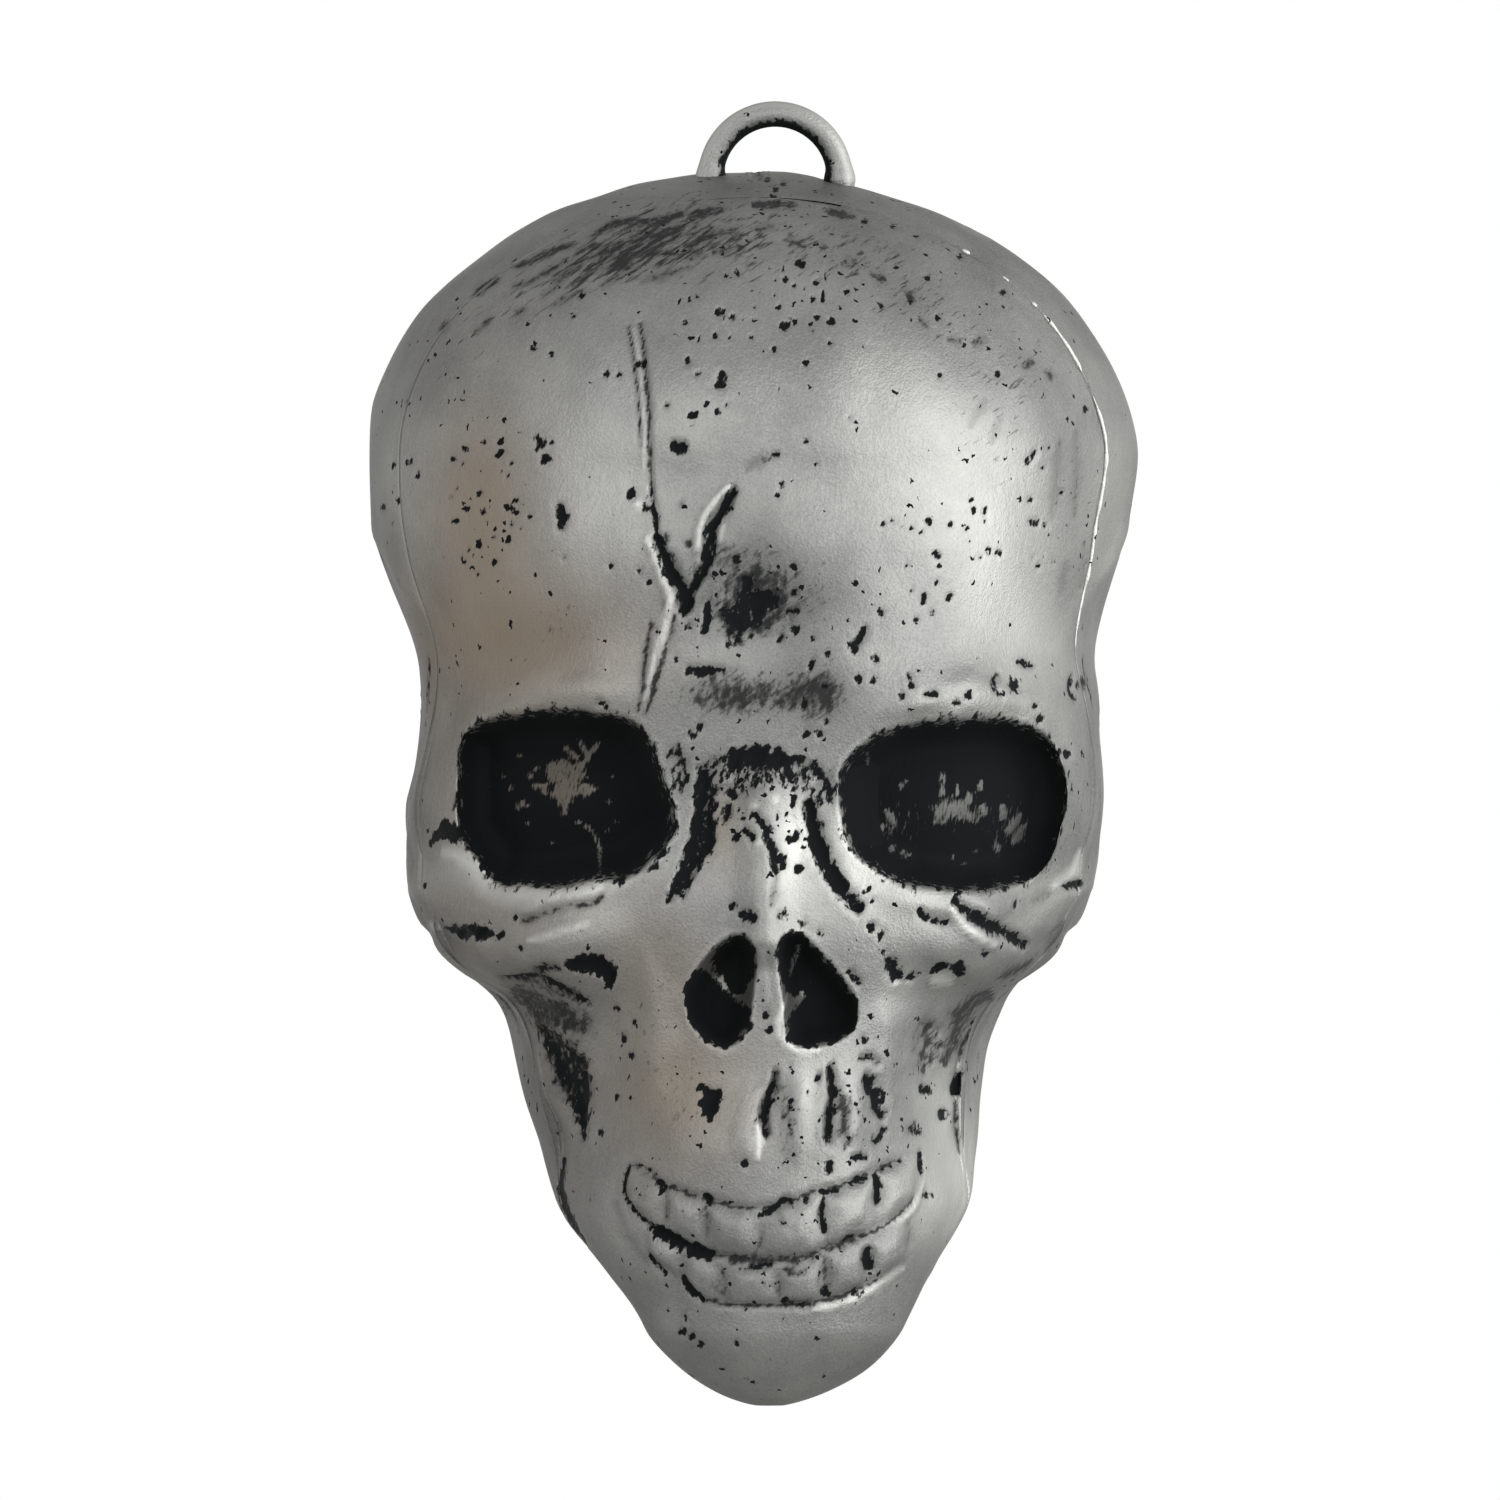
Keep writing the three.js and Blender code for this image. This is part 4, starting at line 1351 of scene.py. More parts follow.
    def colour(self, tree: bpy.types.NodeTree, layer: dict, dark: Any, mottle: Any, grain: Any) -> Any:
        """Works out the paint's colour.

        Args:
            tree: The material's tree.
            layer: The paint layers kept on the mesh.
            dark: The socket of the black share.
            mottle: Broad noise.
            grain: Fine noise.

        Returns:
            The socket of the colour.
        """
        tone = add_node(tree, "ShaderNodeMath", {0: grain, 1: 0.6, 2: mottle}, operation="MULTIPLY_ADD")
        tone = add_node(tree, "ShaderNodeMapRange", {
            "Value": tone, "From Min": self.tone_edge[0], "From Max": self.tone_edge[1]})
        paint = linear(self.shade)
        # The last coats lay the painted warm reflection, the painted highlights and the black.
        coats = (
            (tone, self.silver), (layer["warm"], self.warm), (layer["polish"], self.bright),
            (dark, self.black))
        for share, coat in coats:
            paint = add_node(
                tree, "ShaderNodeMix", {0: share, 6: paint, 7: linear(coat)}, data_type="RGBA").outputs[2]
        return paint


@dataclass(frozen=True)
class ZincPlatedSteel:
    """Bright zinc plating on steel screws: clear, a little clouded, with a faint cool tint."""

    base: str = "#B4B7BA"
    cloud: str = "#9A9EA6"
    cloud_size: float = 1.6
    roughness: tuple[float, float] = (0.25, 0.45)

    def make(self) -> bpy.types.Material:
        """Builds the plating.

        Returns:
            The material.
        """
        material, tree = new_material("zinc_plated_steel")
        place = add_node(tree, "ShaderNodeTexCoord").outputs["Object"]
        noise = add_node(tree, "ShaderNodeTexNoise", {
            "Vector": place, "Scale": 1.0 / (self.cloud_size * MM), "Detail": 3.0})
        colour = add_node(tree, "ShaderNodeMix", {0: noise, 6: linear(self.base), 7: linear(self.cloud)},
                          data_type="RGBA").outputs[2]
        rough = add_node(tree, "ShaderNodeMapRange", {
            "Value": noise, "To Min": self.roughness[0], "To Max": self.roughness[1]})
        shader = add_node(tree, "ShaderNodeBsdfPrincipled", {
            "Base Color": colour, "Metallic": 1.0, "Roughness": rough})
        add_node(tree, "ShaderNodeOutputMaterial", {"Surface": shader})
        return material


@dataclass(frozen=True)
class BlackPlastic:
    """Moulded black plastic: nearly black, satin, with the fine grain of a spark-cut mould."""

    base: str = "#17181A"
    worn: str = "#222325"
    grain_size: float = 0.25
    roughness: tuple[float, float] = (0.42, 0.6)
    bump: float = 0.00005

    def make(self) -> bpy.types.Material:
        """Builds the plastic.

        Returns:
            The material.
        """
        material, tree = new_material("moulded_black_plastic")
        place = add_node(tree, "ShaderNodeTexCoord").outputs["Object"]
        grain = add_node(tree, "ShaderNodeTexNoise", {
            "Vector": place, "Scale": 1.0 / (self.grain_size * MM), "Detail": 2.0})
        colour = add_node(tree, "ShaderNodeMix", {0: grain, 6: linear(self.base), 7: linear(self.worn)},
                          data_type="RGBA").outputs[2]
        rough = add_node(tree, "ShaderNodeMapRange", {
            "Value": grain, "To Min": self.roughness[0], "To Max": self.roughness[1]})
        relief = add_node(tree, "ShaderNodeBump", {
            "Height": grain, "Strength": 0.4, "Distance": self.bump})
        shader = add_node(tree, "ShaderNodeBsdfPrincipled", {
            "Base Color": colour, "Roughness": rough, "Normal": relief, "Specular IOR Level": 0.4})
        add_node(tree, "ShaderNodeOutputMaterial", {"Surface": shader})
        return material


@dataclass(frozen=True)
class PaleFloor:
    """A plain pale studio floor that fades out towards its edge."""

    base: str = "#E4E4E2"
    radius: float = 0.9

    def make(self) -> bpy.types.Material:
        """Builds the floor's paint.

        Returns:
            The material.
        """
        material, tree = new_material("pale_studio_floor")
        place = add_node(tree, "ShaderNodeTexCoord").outputs["Object"]
        out = add_node(tree, "ShaderNodeVectorMath", {0: place}, operation="LENGTH").outputs["Value"]
        seen = add_node(tree, "ShaderNodeMapRange", {
            "Value": out, "From Min": 0.45 * self.radius, "From Max": self.radius, "To Min": 1.0,
            "To Max": 0.0}, interpolation_type="SMOOTHSTEP")
        shader = add_node(tree, "ShaderNodeBsdfPrincipled", {
            "Base Color": linear(self.base), "Roughness": 0.8, "Alpha": seen, "Specular IOR Level": 0.1})
        add_node(tree, "ShaderNodeOutputMaterial", {"Surface": shader})
        return material


def cut(half: float, path: str, depth: float = 0.4, lip: float = 0.04, bare: float = 1.0) -> Stroke:
    """A black groove along places in the photograph, with a soft painted shade round it."""
    return Stroke(px(path), half, depth=depth, lip=lip, bare=bare, shade_halo=0.3)


def glint(half: float, path: str, rise: float = 0.25, shine: float = 0.7) -> Stroke:
    """A raised line with a painted highlight along it."""
    return Stroke(px(path), half, depth=-rise, polish=shine)


def ridge(half: float, rise: float, path: str) -> Stroke:
    """A broad swell along places in the photograph, with a faint painted highlight."""
    return Stroke(px(path), half, depth=-rise, polish=0.04, fade=0.35)


def smear(half: float, path: str, amount: float = 0.75) -> Stroke:
    """A soft dark stroke: thin black paint, and in some places painted shade."""
    return Stroke(px(path), half, depth=0.08, wash=amount)


def rub(half: float, path: str) -> Stroke:
    """A stroke of silver that has caught inside a black hollow."""
    return Stroke(px(path), half, depth=-0.15, scuff=0.85)


def spots(half: float, path: str, depth: float = 0.25) -> list[Stroke]:
    """Small black pits."""
    return [Stroke(px(place), half, depth=depth, lip=0.04, bare=1.0) for place in path.split()]


@dataclass(frozen=True)
class ToothRow:
    """A row of teeth that swell between a gum line and a biting edge."""

    bounds: tuple[float, ...]
    gum: Array
    bite: Array
    proud: float
    crevice_dark: float = 0.3

    def apply(self, skin: Skin) -> None:
        """Swells the teeth out of the jaw.

        Args:
            skin: The surface to change.
        """
        at, facing, _ = skin.place(View.FRONT)
        x, z = at[facing].T
        top = np.interp(x, self.gum[:, 0], self.gum[:, 1])
        base = np.interp(x, self.bite[:, 0], self.bite[:, 1])
        sides = (np.array(self.bounds) - PHOTO_MIDDLE) * PHOTO_SCALE
        for left, right in zip(sides[:-1], sides[1:]):
            u = (2.0 * x - left - right) / (right - left)
            v = (2.0 * z - top - base) / np.abs(top - base)
            r = (np.abs(u) ** 4 + np.abs(v) ** 4) ** 0.25
            r = r * (1.0 + 0.08 * wobble(0.5 * at[facing]))
            skin.lift[facing] += self.proud * smooth(1.1, 0.2, r)
            skin.cover("wash", facing, self.crevice_dark * smooth(0.3, 0.0, np.abs(r - 1.05)))


Mark = Stroke | Patch | Cloud | Scatter | ToothRow


@dataclass(frozen=True)
class PaintWork:
    """The moulded marks, the brushed paint and the painted highlights and shade of the whole skull."""

    relief: FaceRelief

    def marks(self) -> list[Mark]:
        """Lists all marks in the order that they are laid on.

        Returns:
            The marks.
        """
        return [
            *self.forms(), *self.sides(), *self.crown(), *self.crack(), *self.forehead(), *self.glabella(),
            *self.eyes(), *self.bridge(), *self.nose(), *self.left_cheek(), *self.right_cheek(),
            *self.upper_jaw(), *self.teeth()]

    def forms(self) -> list[Mark]:
        """The swells of the brows, socket rims, cheekbones and jaws.

        Returns:
            The marks.
        """
        return [
            ridge(2.6, 0.8, "452,722 490,700 545,690 610,694 655,716"),
            ridge(2.6, 0.8, "842,742 880,712 940,697 1000,695 1050,716 1075,750"),
            ridge(1.9, 0.6, "432,900 480,908 540,905 600,897 650,875"),
            ridge(1.9, 0.6, "850,872 890,898 950,906 1010,903 1060,880"),
            ridge(3.0, 0.9, "432,948 480,962 540,950 600,935 645,925"),
            ridge(3.0, 0.9, "1080,938 1030,962 980,960 920,945 880,925"),
            ridge(2.2, 0.8, "640,930 655,990 660,1050 640,1120"),
            ridge(2.2, 0.7, "880,990 890,1040 890,1090"),
            ridge(1.6, 0.6, "748,1065 745,1110 742,1165"),
            ridge(1.6, 0.6, "800,1062 798,1110 797,1170"),
            ridge(1.4, 0.5, "848,1070 852,1110 852,1155"),
            ridge(3.4, 0.7, "610,1150 600,1200 620,1260 660,1310"),
            ridge(3.4, 0.7, "945,1110 950,1160 935,1220 900,1290"),
            ridge(4.5, 0.8, "700,1350 760,1365 820,1350"),
        ]

    def sides(self) -> list[Mark]:
        """The forms of the temples, cheek arches, ears, jaw and rear, their worn paint, and painted shade in
        the hollows and highlights on the swells.

        Returns:
            The marks.
        """
        side = View.SIDE
        rear = View.REAR
        lower = np.array([(-34.0, 16.0), (-20.0, 25.0), (-8.0, 36.0), (2.0, 50.0), (6.0, 60.0)])
        arch = np.array([(-34.0, 62.0), (-22.0, 66.0), (-8.0, 67.0), (6.0, 65.0), (18.0, 61.0)])
        line = np.array([(-30.0, 92.0), (-14.0, 108.0), (12.0, 116.0), (32.0, 106.0), (44.0, 84.0)])
        branch = np.array([(0.0, 104.0), (18.0, 95.0), (33.0, 80.0), (38.0, 70.0)])
        nape = np.array([(-44.0, 62.0), (-20.0, 56.0), (0.0, 61.0), (20.0, 56.0), (44.0, 62.0)])
        return [
            # The swells take a faint painted highlight, and the hollows and grooves beside them painted
            # shade.
            Stroke(arch, 3.6, depth=-1.9, polish=0.1, fade=0.3, view=side),
            Stroke(arch + np.array([0.0, -6.0]), 3.0, depth=0.9, wash=0.4, fade=0.3, view=side),
            Cloud(np.array([-6.0, 82.0]), 14.0, 8.0, turn=0.2, lift=-1.5, wash=0.2, speck=0.1, view=side),
            Cloud(np.array([-6.0, 52.0]), 9.0, 6.0, turn=0.6, lift=-1.2, wash=0.35, speck=0.1, view=side),
            Stroke(np.array([(17.0, 60.0), (19.0, 57.0)]), 1.3, depth=1.2, lip=0.2, bare=0.9, shade_halo=0.5,
                   view=side),
            Stroke(np.array([(-16.0, 96.0), (-15.0, 90.0)]), 0.8, depth=0.3, bare=0.85, shade_halo=0.4, view=side),
            Cloud(np.array([24.0, 51.0]), 5.0, 8.0, turn=0.3, lift=1.7, polish=0.1, view=side),
            Stroke(line, 2.6, depth=-0.5, fade=0.3, view=side),
            Stroke(lower, 3.2, depth=-0.9, polish=0.1, fade=0.3, view=side),
            Stroke(lower + np.array([-4.0, 8.0]), 4.0, depth=0.7, wash=0.3, fade=0.35, view=side),
            # A painted highlight on the rear swell, and painted shade under the nape's ridge.
            Cloud(np.array([0.0, 64.0]), 10.0, 6.0, lift=1.4, polish=0.1, view=rear),
            Stroke(nape, 2.6, depth=-0.6, fade=0.2, view=rear),
            Stroke(nape + np.array([0.0, -10.0]), 3.4, depth=0.7, wash=0.3, fade=0.3, view=rear),
            *self.suture(np.array([(0.0, -12.0), (0.0, 40.0)]), View.TOP, 61),
            *self.suture(np.array([(0.0, 146.0), (0.0, 104.0)]), rear, 62),
            *self.suture(branch * np.array([-1.0, 1.0]), rear, 63),
            *self.suture(branch, rear, 64),
            *self.suture(np.array([(2.0, 88.0), (12.0, 96.0), (24.0, 94.0), (34.0, 82.0)]), side, 65),
            *(Scatter(np.array(at), wide, tall, count=count, small=0.3, large=0.6, seed=seed, view=view)
              for at, wide, tall, count, seed, view in (
                  ((20.0, 112.0), 22.0, 22.0, 44, 71, side), ((10.0, 80.0), 24.0, 14.0, 30, 72, side),
                  ((-10.0, 42.0), 14.0, 14.0, 24, 73, side), ((-18.0, 100.0), 20.0, 30.0, 44, 74, rear),
                  ((20.0, 84.0), 18.0, 30.0, 44, 75, rear), ((0.0, 40.0), 22.0, 14.0, 30, 76, rear),
                  ((14.0, 12.0), 24.0, 24.0, 34, 77, View.TOP),
                  ((-20.0, 20.0), 16.0, 20.0, 26, 78, View.TOP))),
            *(Cloud(np.array(at), wide, tall, turn=turn, wash=0.6 * wash, speck=0.08, streak=wash, view=view)
              for at, wide, tall, turn, wash, view in (
                  ((26.0, 122.0), 20.0, 9.0, 0.7, 0.42, side), ((14.0, 38.0), 10.0, 16.0, 0.2, 0.45, side),
                  ((-20.0, 116.0), 18.0, 9.0, 0.6, 0.42, rear), ((18.0, 74.0), 9.0, 16.0, 0.3, 0.36, rear),
                  ((0.0, 28.0), 24.0, 12.0, 0.0, 0.35, rear), ((-14.0, 30.0), 9.0, 16.0, 0.4, 0.4, View.TOP),
                  ((16.0, 2.0), 14.0, 9.0, -0.3, 0.3, View.TOP))),
        ]

    def suture(self, path: Array, view: View, seed: int) -> list[Mark]:
        """A wandering seam between two bones.

        Args:
            path: The seam's course in millimetres.
            view: The side that it is drawn from.
            seed: The number that fixes its bends.

        Returns:
            The groove of the seam.
        """
        chance = np.random.default_rng(seed)
        run = np.concatenate([[0.0], np.cumsum(np.linalg.norm(np.diff(path, axis=0), axis=1))])
        steps = np.linspace(0.0, run[-1], int(run[-1] / 1.3))
        line = np.stack([np.interp(steps, run, path[:, k]) for k in range(2)], axis=1)
        way = np.gradient(line, axis=0)
        way /= np.linalg.norm(way, axis=1, keepdims=True)
        sway = np.where(np.arange(len(line)) % 2 == 0, 1.0, -1.0) * chance.uniform(0.3, 1.5, len(line))
        line = line + np.stack([-way[:, 1], way[:, 0]], axis=1) * sway[:, None]
        return [Stroke(line, 0.42, depth=0.5, lip=0.12, bare=0.95, taper=0.3, view=view)]

    def crown(self) -> list[Mark]:
        """The seam's dark dashes and the dry brush strokes over the top of the head.

        Returns:
            The marks.
        """
        dashes = (
            "473,297 487,285 500,279", "514,269 531,265 545,256 560,250 578,244",
            "590,240 607,228 619,224 633,223 657,225 670,219 684,215", "690,215 707,214 724,212",
            "751,207 771,206 797,206", "824,210 855,218")
        sweeps = (
            "512,289 546,277 570,260", "565,291 590,274 614,260 626,254", "551,308 587,291",
            "514,315 527,311", "473,337 493,318", "689,262 704,252", "711,256 746,249", "650,255 679,254",
            "694,240 740,234", "754,233 774,228", "600,290 640,262", "540,300 580,268", "440,332 450,322",
            "784,243 806,250", "818,248 825,251", "840,267 857,263", "869,274 886,283", "905,291 913,306",
            "917,320 927,330", "947,340 962,343", "972,346 985,338", "640,285 690,268", "1022,371 1034,360",
            "1046,371 1052,382")
        return [
            *(smear(0.5, dash, amount=1.0) for dash in dashes),
            *(smear(0.55, sweep, amount=0.6) for sweep in sweeps),
            smear(0.9, "575,267 605,253 640,241 682,227", amount=0.62),
            cut(0.5, "560,1154 561,1178 567,1200 577,1219 591,1241", depth=0.3, bare=0.95),
            *spots(0.38, "864,222 892,228 914,238 960,257 1002,294 1089,385 1096,527 881,308 937,320 "
                         "927,281 767,180 775,190 783,184 772,197 581,298 939,378 997,377 1086,411"),
            *(smear(0.5, line, amount=0.42) for line in (
                "1060,440 1056,480 1052,520", "1076,430 1078,480 1074,520", "1066,560 1060,600",
                "1085,540 1080,590", "985,400 968,432", "1000,420 990,445")),
            Cloud(px("600,265"), 17.0, 5.0, turn=0.4, wash=0.28, speck=0.06, streak=0.56),
            Cloud(px("760,250"), 18.0, 6.0, turn=-0.1, wash=0.24, speck=0.1, streak=0.42),
            Cloud(px("930,310"), 14.0, 6.0, turn=-0.6, wash=0.34, speck=0.06, streak=0.32),
            Cloud(px("1035,370"), 5.0, 6.0, turn=-0.8, wash=0.2, speck=0.05, streak=0.18),
            Cloud(px("985,430"), 7.0, 9.0, streak=0.18),
            Cloud(px("440,370"), 5.0, 11.0, turn=-0.5, wash=0.2, speck=0.06, streak=0.15),
            # Painted highlights at the left and right of the forehead.
            Cloud(px("385,450"), 7.0, 16.0, polish=0.24),
            Cloud(px("1112,520"), 5.0, 14.0, polish=0.3),
            Cloud(px("770,185"), 30.0, 5.0, wash=0.2, speck=0.06),
            Scatter(px("800,300"), 6.5, 4.5, count=20, small=0.2, large=0.6, seed=11),
            Scatter(px("720,310"), 6.0, 5.0, count=12, small=0.2, large=0.6, seed=12),
        ]

    def crack(self) -> list[Mark]:
        """The forked crack in the forehead.

        Returns:
            The marks.
        """
        return [
            Stroke(px("640,325 643,340 645,367 648,402 650,450 650,474 652,498"), 0.4, depth=0.4, wash=0.85),
            Stroke(px("629,328 633,350 635,370 638,391 640,420 641,450"), 0.35, depth=0.3, wash=0.75),
            cut(0.45, "651,490 654,514 658,536", bare=0.8),
            # The bright lines along the crack's lips are painted highlights.
            glint(0.35, "634,332 639,355 641,390 645,430 646,470", rise=0.12, shine=0.35),
            cut(0.9, "656,538 667,568 678,584 686,603 683,612", depth=1.0, lip=0.1),
            glint(0.5, "646,540 655,553 663,579 671,597 667,615", rise=0.4),
            cut(0.8, "737,490 721,514 711,530 709,549 706,568 697,584 688,597", depth=1.0, lip=0.08),
            glint(0.42, "730,488 716,502 705,516 699,533 697,552", rise=0.4),
            glint(0.3, "724,522 719,545", rise=0.15),
            smear(0.7, "745,474 753,466 770,460", amount=0.7),
            cut(0.3, "769,461 780,456", bare=0.8),
            *spots(0.42, "806,445 780,488 639,366 645,366 658,633 778,498"),
            *spots(0.6, "632,497 646,510"),
            glint(0.4, "639,506"),
            glint(0.5, "671,597 668,612 666,628 663,650 661,665", rise=0.3),
            *(smear(0.4, line, amount=0.85) for line in (
                "665,534 669,545", "686,540 691,548", "679,503 684,509")),
            smear(0.4, "676,614 670,638 663,659 657,680 651,702 646,716", amount=0.95),
            smear(0.4, "653,621 648,643 645,667 643,688 639,713", amount=0.95),
            glint(0.35, "662,630 657,650 652,675 646,700", rise=0.2),
        ]

    def forehead(self) -> list[Mark]:
        """Pits and worn clusters of the forehead and temples, and painted highlights on it.

        Returns:
            The marks.
        """
        return [
            *spots(0.38, "689,367 698,378 717,415 606,378 620,377 685,325 733,319 751,340 774,352 829,325 "
                         "812,333 828,347 805,367 849,420 553,446 466,451 453,461 484,445 531,518 512,526 "
                         "484,514 481,495 393,491 400,502 394,526 401,404 533,350 551,356 573,319 583,297 "
                         "611,568 640,573 650,584 565,560 883,526 949,527 1030,502 1030,524 738,275 "
                         "732,321 785,282 794,288 817,285 813,300 817,321 831,323 667,408"),
            *spots(0.75, "721,380 721,388 542,446 548,461"),
            cut(0.8, "672,446 679,453 687,446", depth=0.6),
            cut(0.6, "560,505 565,518 562,533"),
            Scatter(px("490,510"), 5.5, 9.0, count=44, small=0.16, large=0.42, seed=21),
            Scatter(px("940,550"), 8.0, 7.0, count=26, small=0.18, large=0.5, seed=22),
            Scatter(px("1040,500"), 3.0, 10.0, count=12, small=0.2, large=0.42, seed=23),
            Scatter(px("700,390"), 5.0, 6.0, count=7, small=0.25, large=0.5, seed=24),
            Scatter(px("400,490"), 3.0, 12.0, count=9, small=0.25, large=0.45, seed=25),
            Cloud(px("490,520"), 4.5, 9.0, wash=0.2, speck=0.2),
            Cloud(px("940,550"), 8.0, 6.0, speck=0.12),
            # Painted highlights on the forehead.
            Cloud(px("930,470"), 11.0, 13.0, turn=0.4, polish=0.22),
            Cloud(px("610,480"), 8.0, 11.0, polish=0.3),
            Cloud(px("1010,620"), 6.0, 9.0, turn=0.6, polish=0.4),
            Cloud(px("1005,520"), 6.0, 13.0, polish=0.3),
            Cloud(px("1078,520"), 2.6, 16.0, turn=0.05, lift=-0.15, wash=0.22),
        ]

    def glabella(self) -> list[Mark]:
        """The black blotch between the brows and what lies round it.

        Returns:
            The marks.
        """
        return [
            Patch(px("736,602 739,586 744,576 758,575 757,586 764,588 781,593 783,606 779,616 767,619 "
                     "771,631 767,634 750,630 744,638 743,647 733,638 726,644 723,624 720,609 730,610"), 1.1,
                  depth=0.5, bare=0.86, wash=0.8),
            Cloud(px("750,604"), 8.0, 6.0, wash=0.6, speck=0.2),
            Cloud(px("745,548"), 7.0, 6.0, wash=0.4, speck=0.05),
            Cloud(px("820,610"), 6.0, 8.0, wash=0.36),
            cut(0.75, "709,603 708,618 704,636", bare=0.95),
            cut(0.9, "690,596 687,606 681,617", depth=0.8),
            smear(0.5, "728,574 727,590 725,604", amount=0.95),
            smear(0.45, "725,550 729,562", amount=0.8),
            *(cut(0.42, line, bare=0.95) for line in (
                "795,589 793,600", "784,614 794,613 800,610", "783,634 777,643", "764,626 771,632",
                "752,634 750,641")),
            *spots(0.6, "690,628 738,640 728,644 795,631"),
            *spots(0.45, "793,569 738,561 824,687 803,705 676,660"),
            *spots(0.4, "812,640 826,655 880,615 915,620 930,615"),
            cut(0.65, "686,673 694,669 701,675 712,671 725,672", bare=0.92),
            # A painted shadow band below the brows.
            Cloud(px("738,698"), 9.0, 3.6, lift=-0.2, wash=0.95),
            Cloud(px("820,696"), 4.0, 3.4, lift=-0.2, wash=0.85),
            cut(0.4, "812,660 810,674", bare=0.95),
            *spots(0.55, "802,700"),
            cut(0.6, "864,629 859,640 855,647"),
            *spots(0.8, "855,648"),
            # More painted shade along the foot of the brows.
            smear(1.0, "690,700 730,712 790,712 830,700", amount=0.35),
        ]

    def eyes(self) -> list[Mark]:
        """The black sockets with silver caught in them, the marks round them, and painted highlights and
        reflections.

        Returns:
            The marks.
        """
        left, right = self.relief.sockets[:2]
        star = (
            "580,767 591,753 599,743", "588,755 579,740", "582,759 563,745", "580,783 598,790",
            "549,784 533,786", "576,820 587,825 599,839 602,854 600,879", "517,812 521,802 531,806",
            "566,800 566,817")
        return [
            Patch(left.outline, 1.5, bare=1.0),
            Patch(right.outline, 1.4, bare=1.0),
            Patch(px("429,846 433,828 446,821 462,822 474,836 480,850 466,842 452,838 441,841"), 0.6,
                  depth=0.1, bare=1.0),
            cut(0.7, "500,872 512,884", depth=0.2),
            Patch(px("533,786 543,786 553,790 556,784 543,774 546,765 556,757 568,758 578,761 586,766 "
                     "590,776 582,780 580,786 598,790 586,794 576,798 570,806 565,816 561,806 555,798 "
                     "545,792"), 0.5, scuff=0.6),
            *(rub(0.35, line) for line in star),
            *(rub(0.35, at) for at in (
                "505,775 512,788 529,823 538,768 531,776 611,802 618,823 608,828 553,842 613,776 "
                "520,757".split())),
            *(rub(0.35, line) for line in (
                "867,749 867,776", "897,789 905,780", "941,772 941,796", "956,784 957,797", "968,790 969,804",
                "980,780 980,793", "981,803 985,817", "1003,803 1003,818", "1006,833 1013,826 1021,814",
                "1013,844 1019,836 1025,823", "884,809 889,815 895,826", "900,849 909,856",
                "879,826 883,829")),
            *(rub(0.35, at) for at in "869,842 891,847 997,850 997,846 952,856 963,863 974,851".split()),
            Patch(px("932,808 941,798 950,801 957,800 964,800 972,806 978,820 970,825 962,822 954,814 "
                     "948,824 934,825"), 0.5, scuff=0.55),
            Cloud(px("958,806"), 7.0, 4.0, scuff=0.3),
            Cloud(px("893,825"), 4.0, 5.0, scuff=0.36),
            Cloud(px("1012,828"), 3.5, 4.0, scuff=0.36),
            # Silver caught in the socket, with a painted warm reflection.
            Cloud(px("566,785"), 6.5, 6.0, scuff=0.3, warm=0.5),
            *spots(0.5, "900,695 910,687 907,676 963,696 952,703 1030,706 1036,720 1066,753 826,723 "
                        "819,735 805,734 857,679 873,681 874,660 1011,902 979,949 692,735 700,728"),
            cut(0.35, "598,700 610,708", bare=0.9),
            cut(0.4, "920,694 935,694"),
            *spots(0.9, "1011,687"),
            cut(0.35, "998,673 989,682 990,692 998,698", bare=0.8),
            cut(0.45, "1017,660 1034,668"),
            *spots(0.8, "1082,684"),
            cut(0.35, "1072,673 1068,688 1076,702", bare=0.8),
            cut(0.8, "950,896 965,910 979,920 1000,931 1026,945", depth=0.8, lip=0.1),
            # A painted highlight along the slit.
            glint(0.45, "946,904 956,921 973,933 992,942"),
            cut(0.5, "915,907 921,915 931,919 940,923 947,919", bare=0.9),
            cut(0.45, "1053,886 1072,876"),
            smear(0.6, "1028,902 1045,889"),
            # A painted highlight.
            glint(0.35, "1046,886 1062,874 1072,862 1078,850", rise=0.12),
            smear(0.7, "993,974 1037,953"),
            # A dark painted reflection on the left brow, and painted warm reflections beside it.
            Cloud(px("560,630"), 9.0, 5.0, turn=0.2, wash=0.34, speck=0.04),
            Cloud(px("520,640"), 13.0, 8.0, wash=0.14, warm=0.7),
            Cloud(px("480,510"), 6.0, 11.0, warm=0.7),
        ]

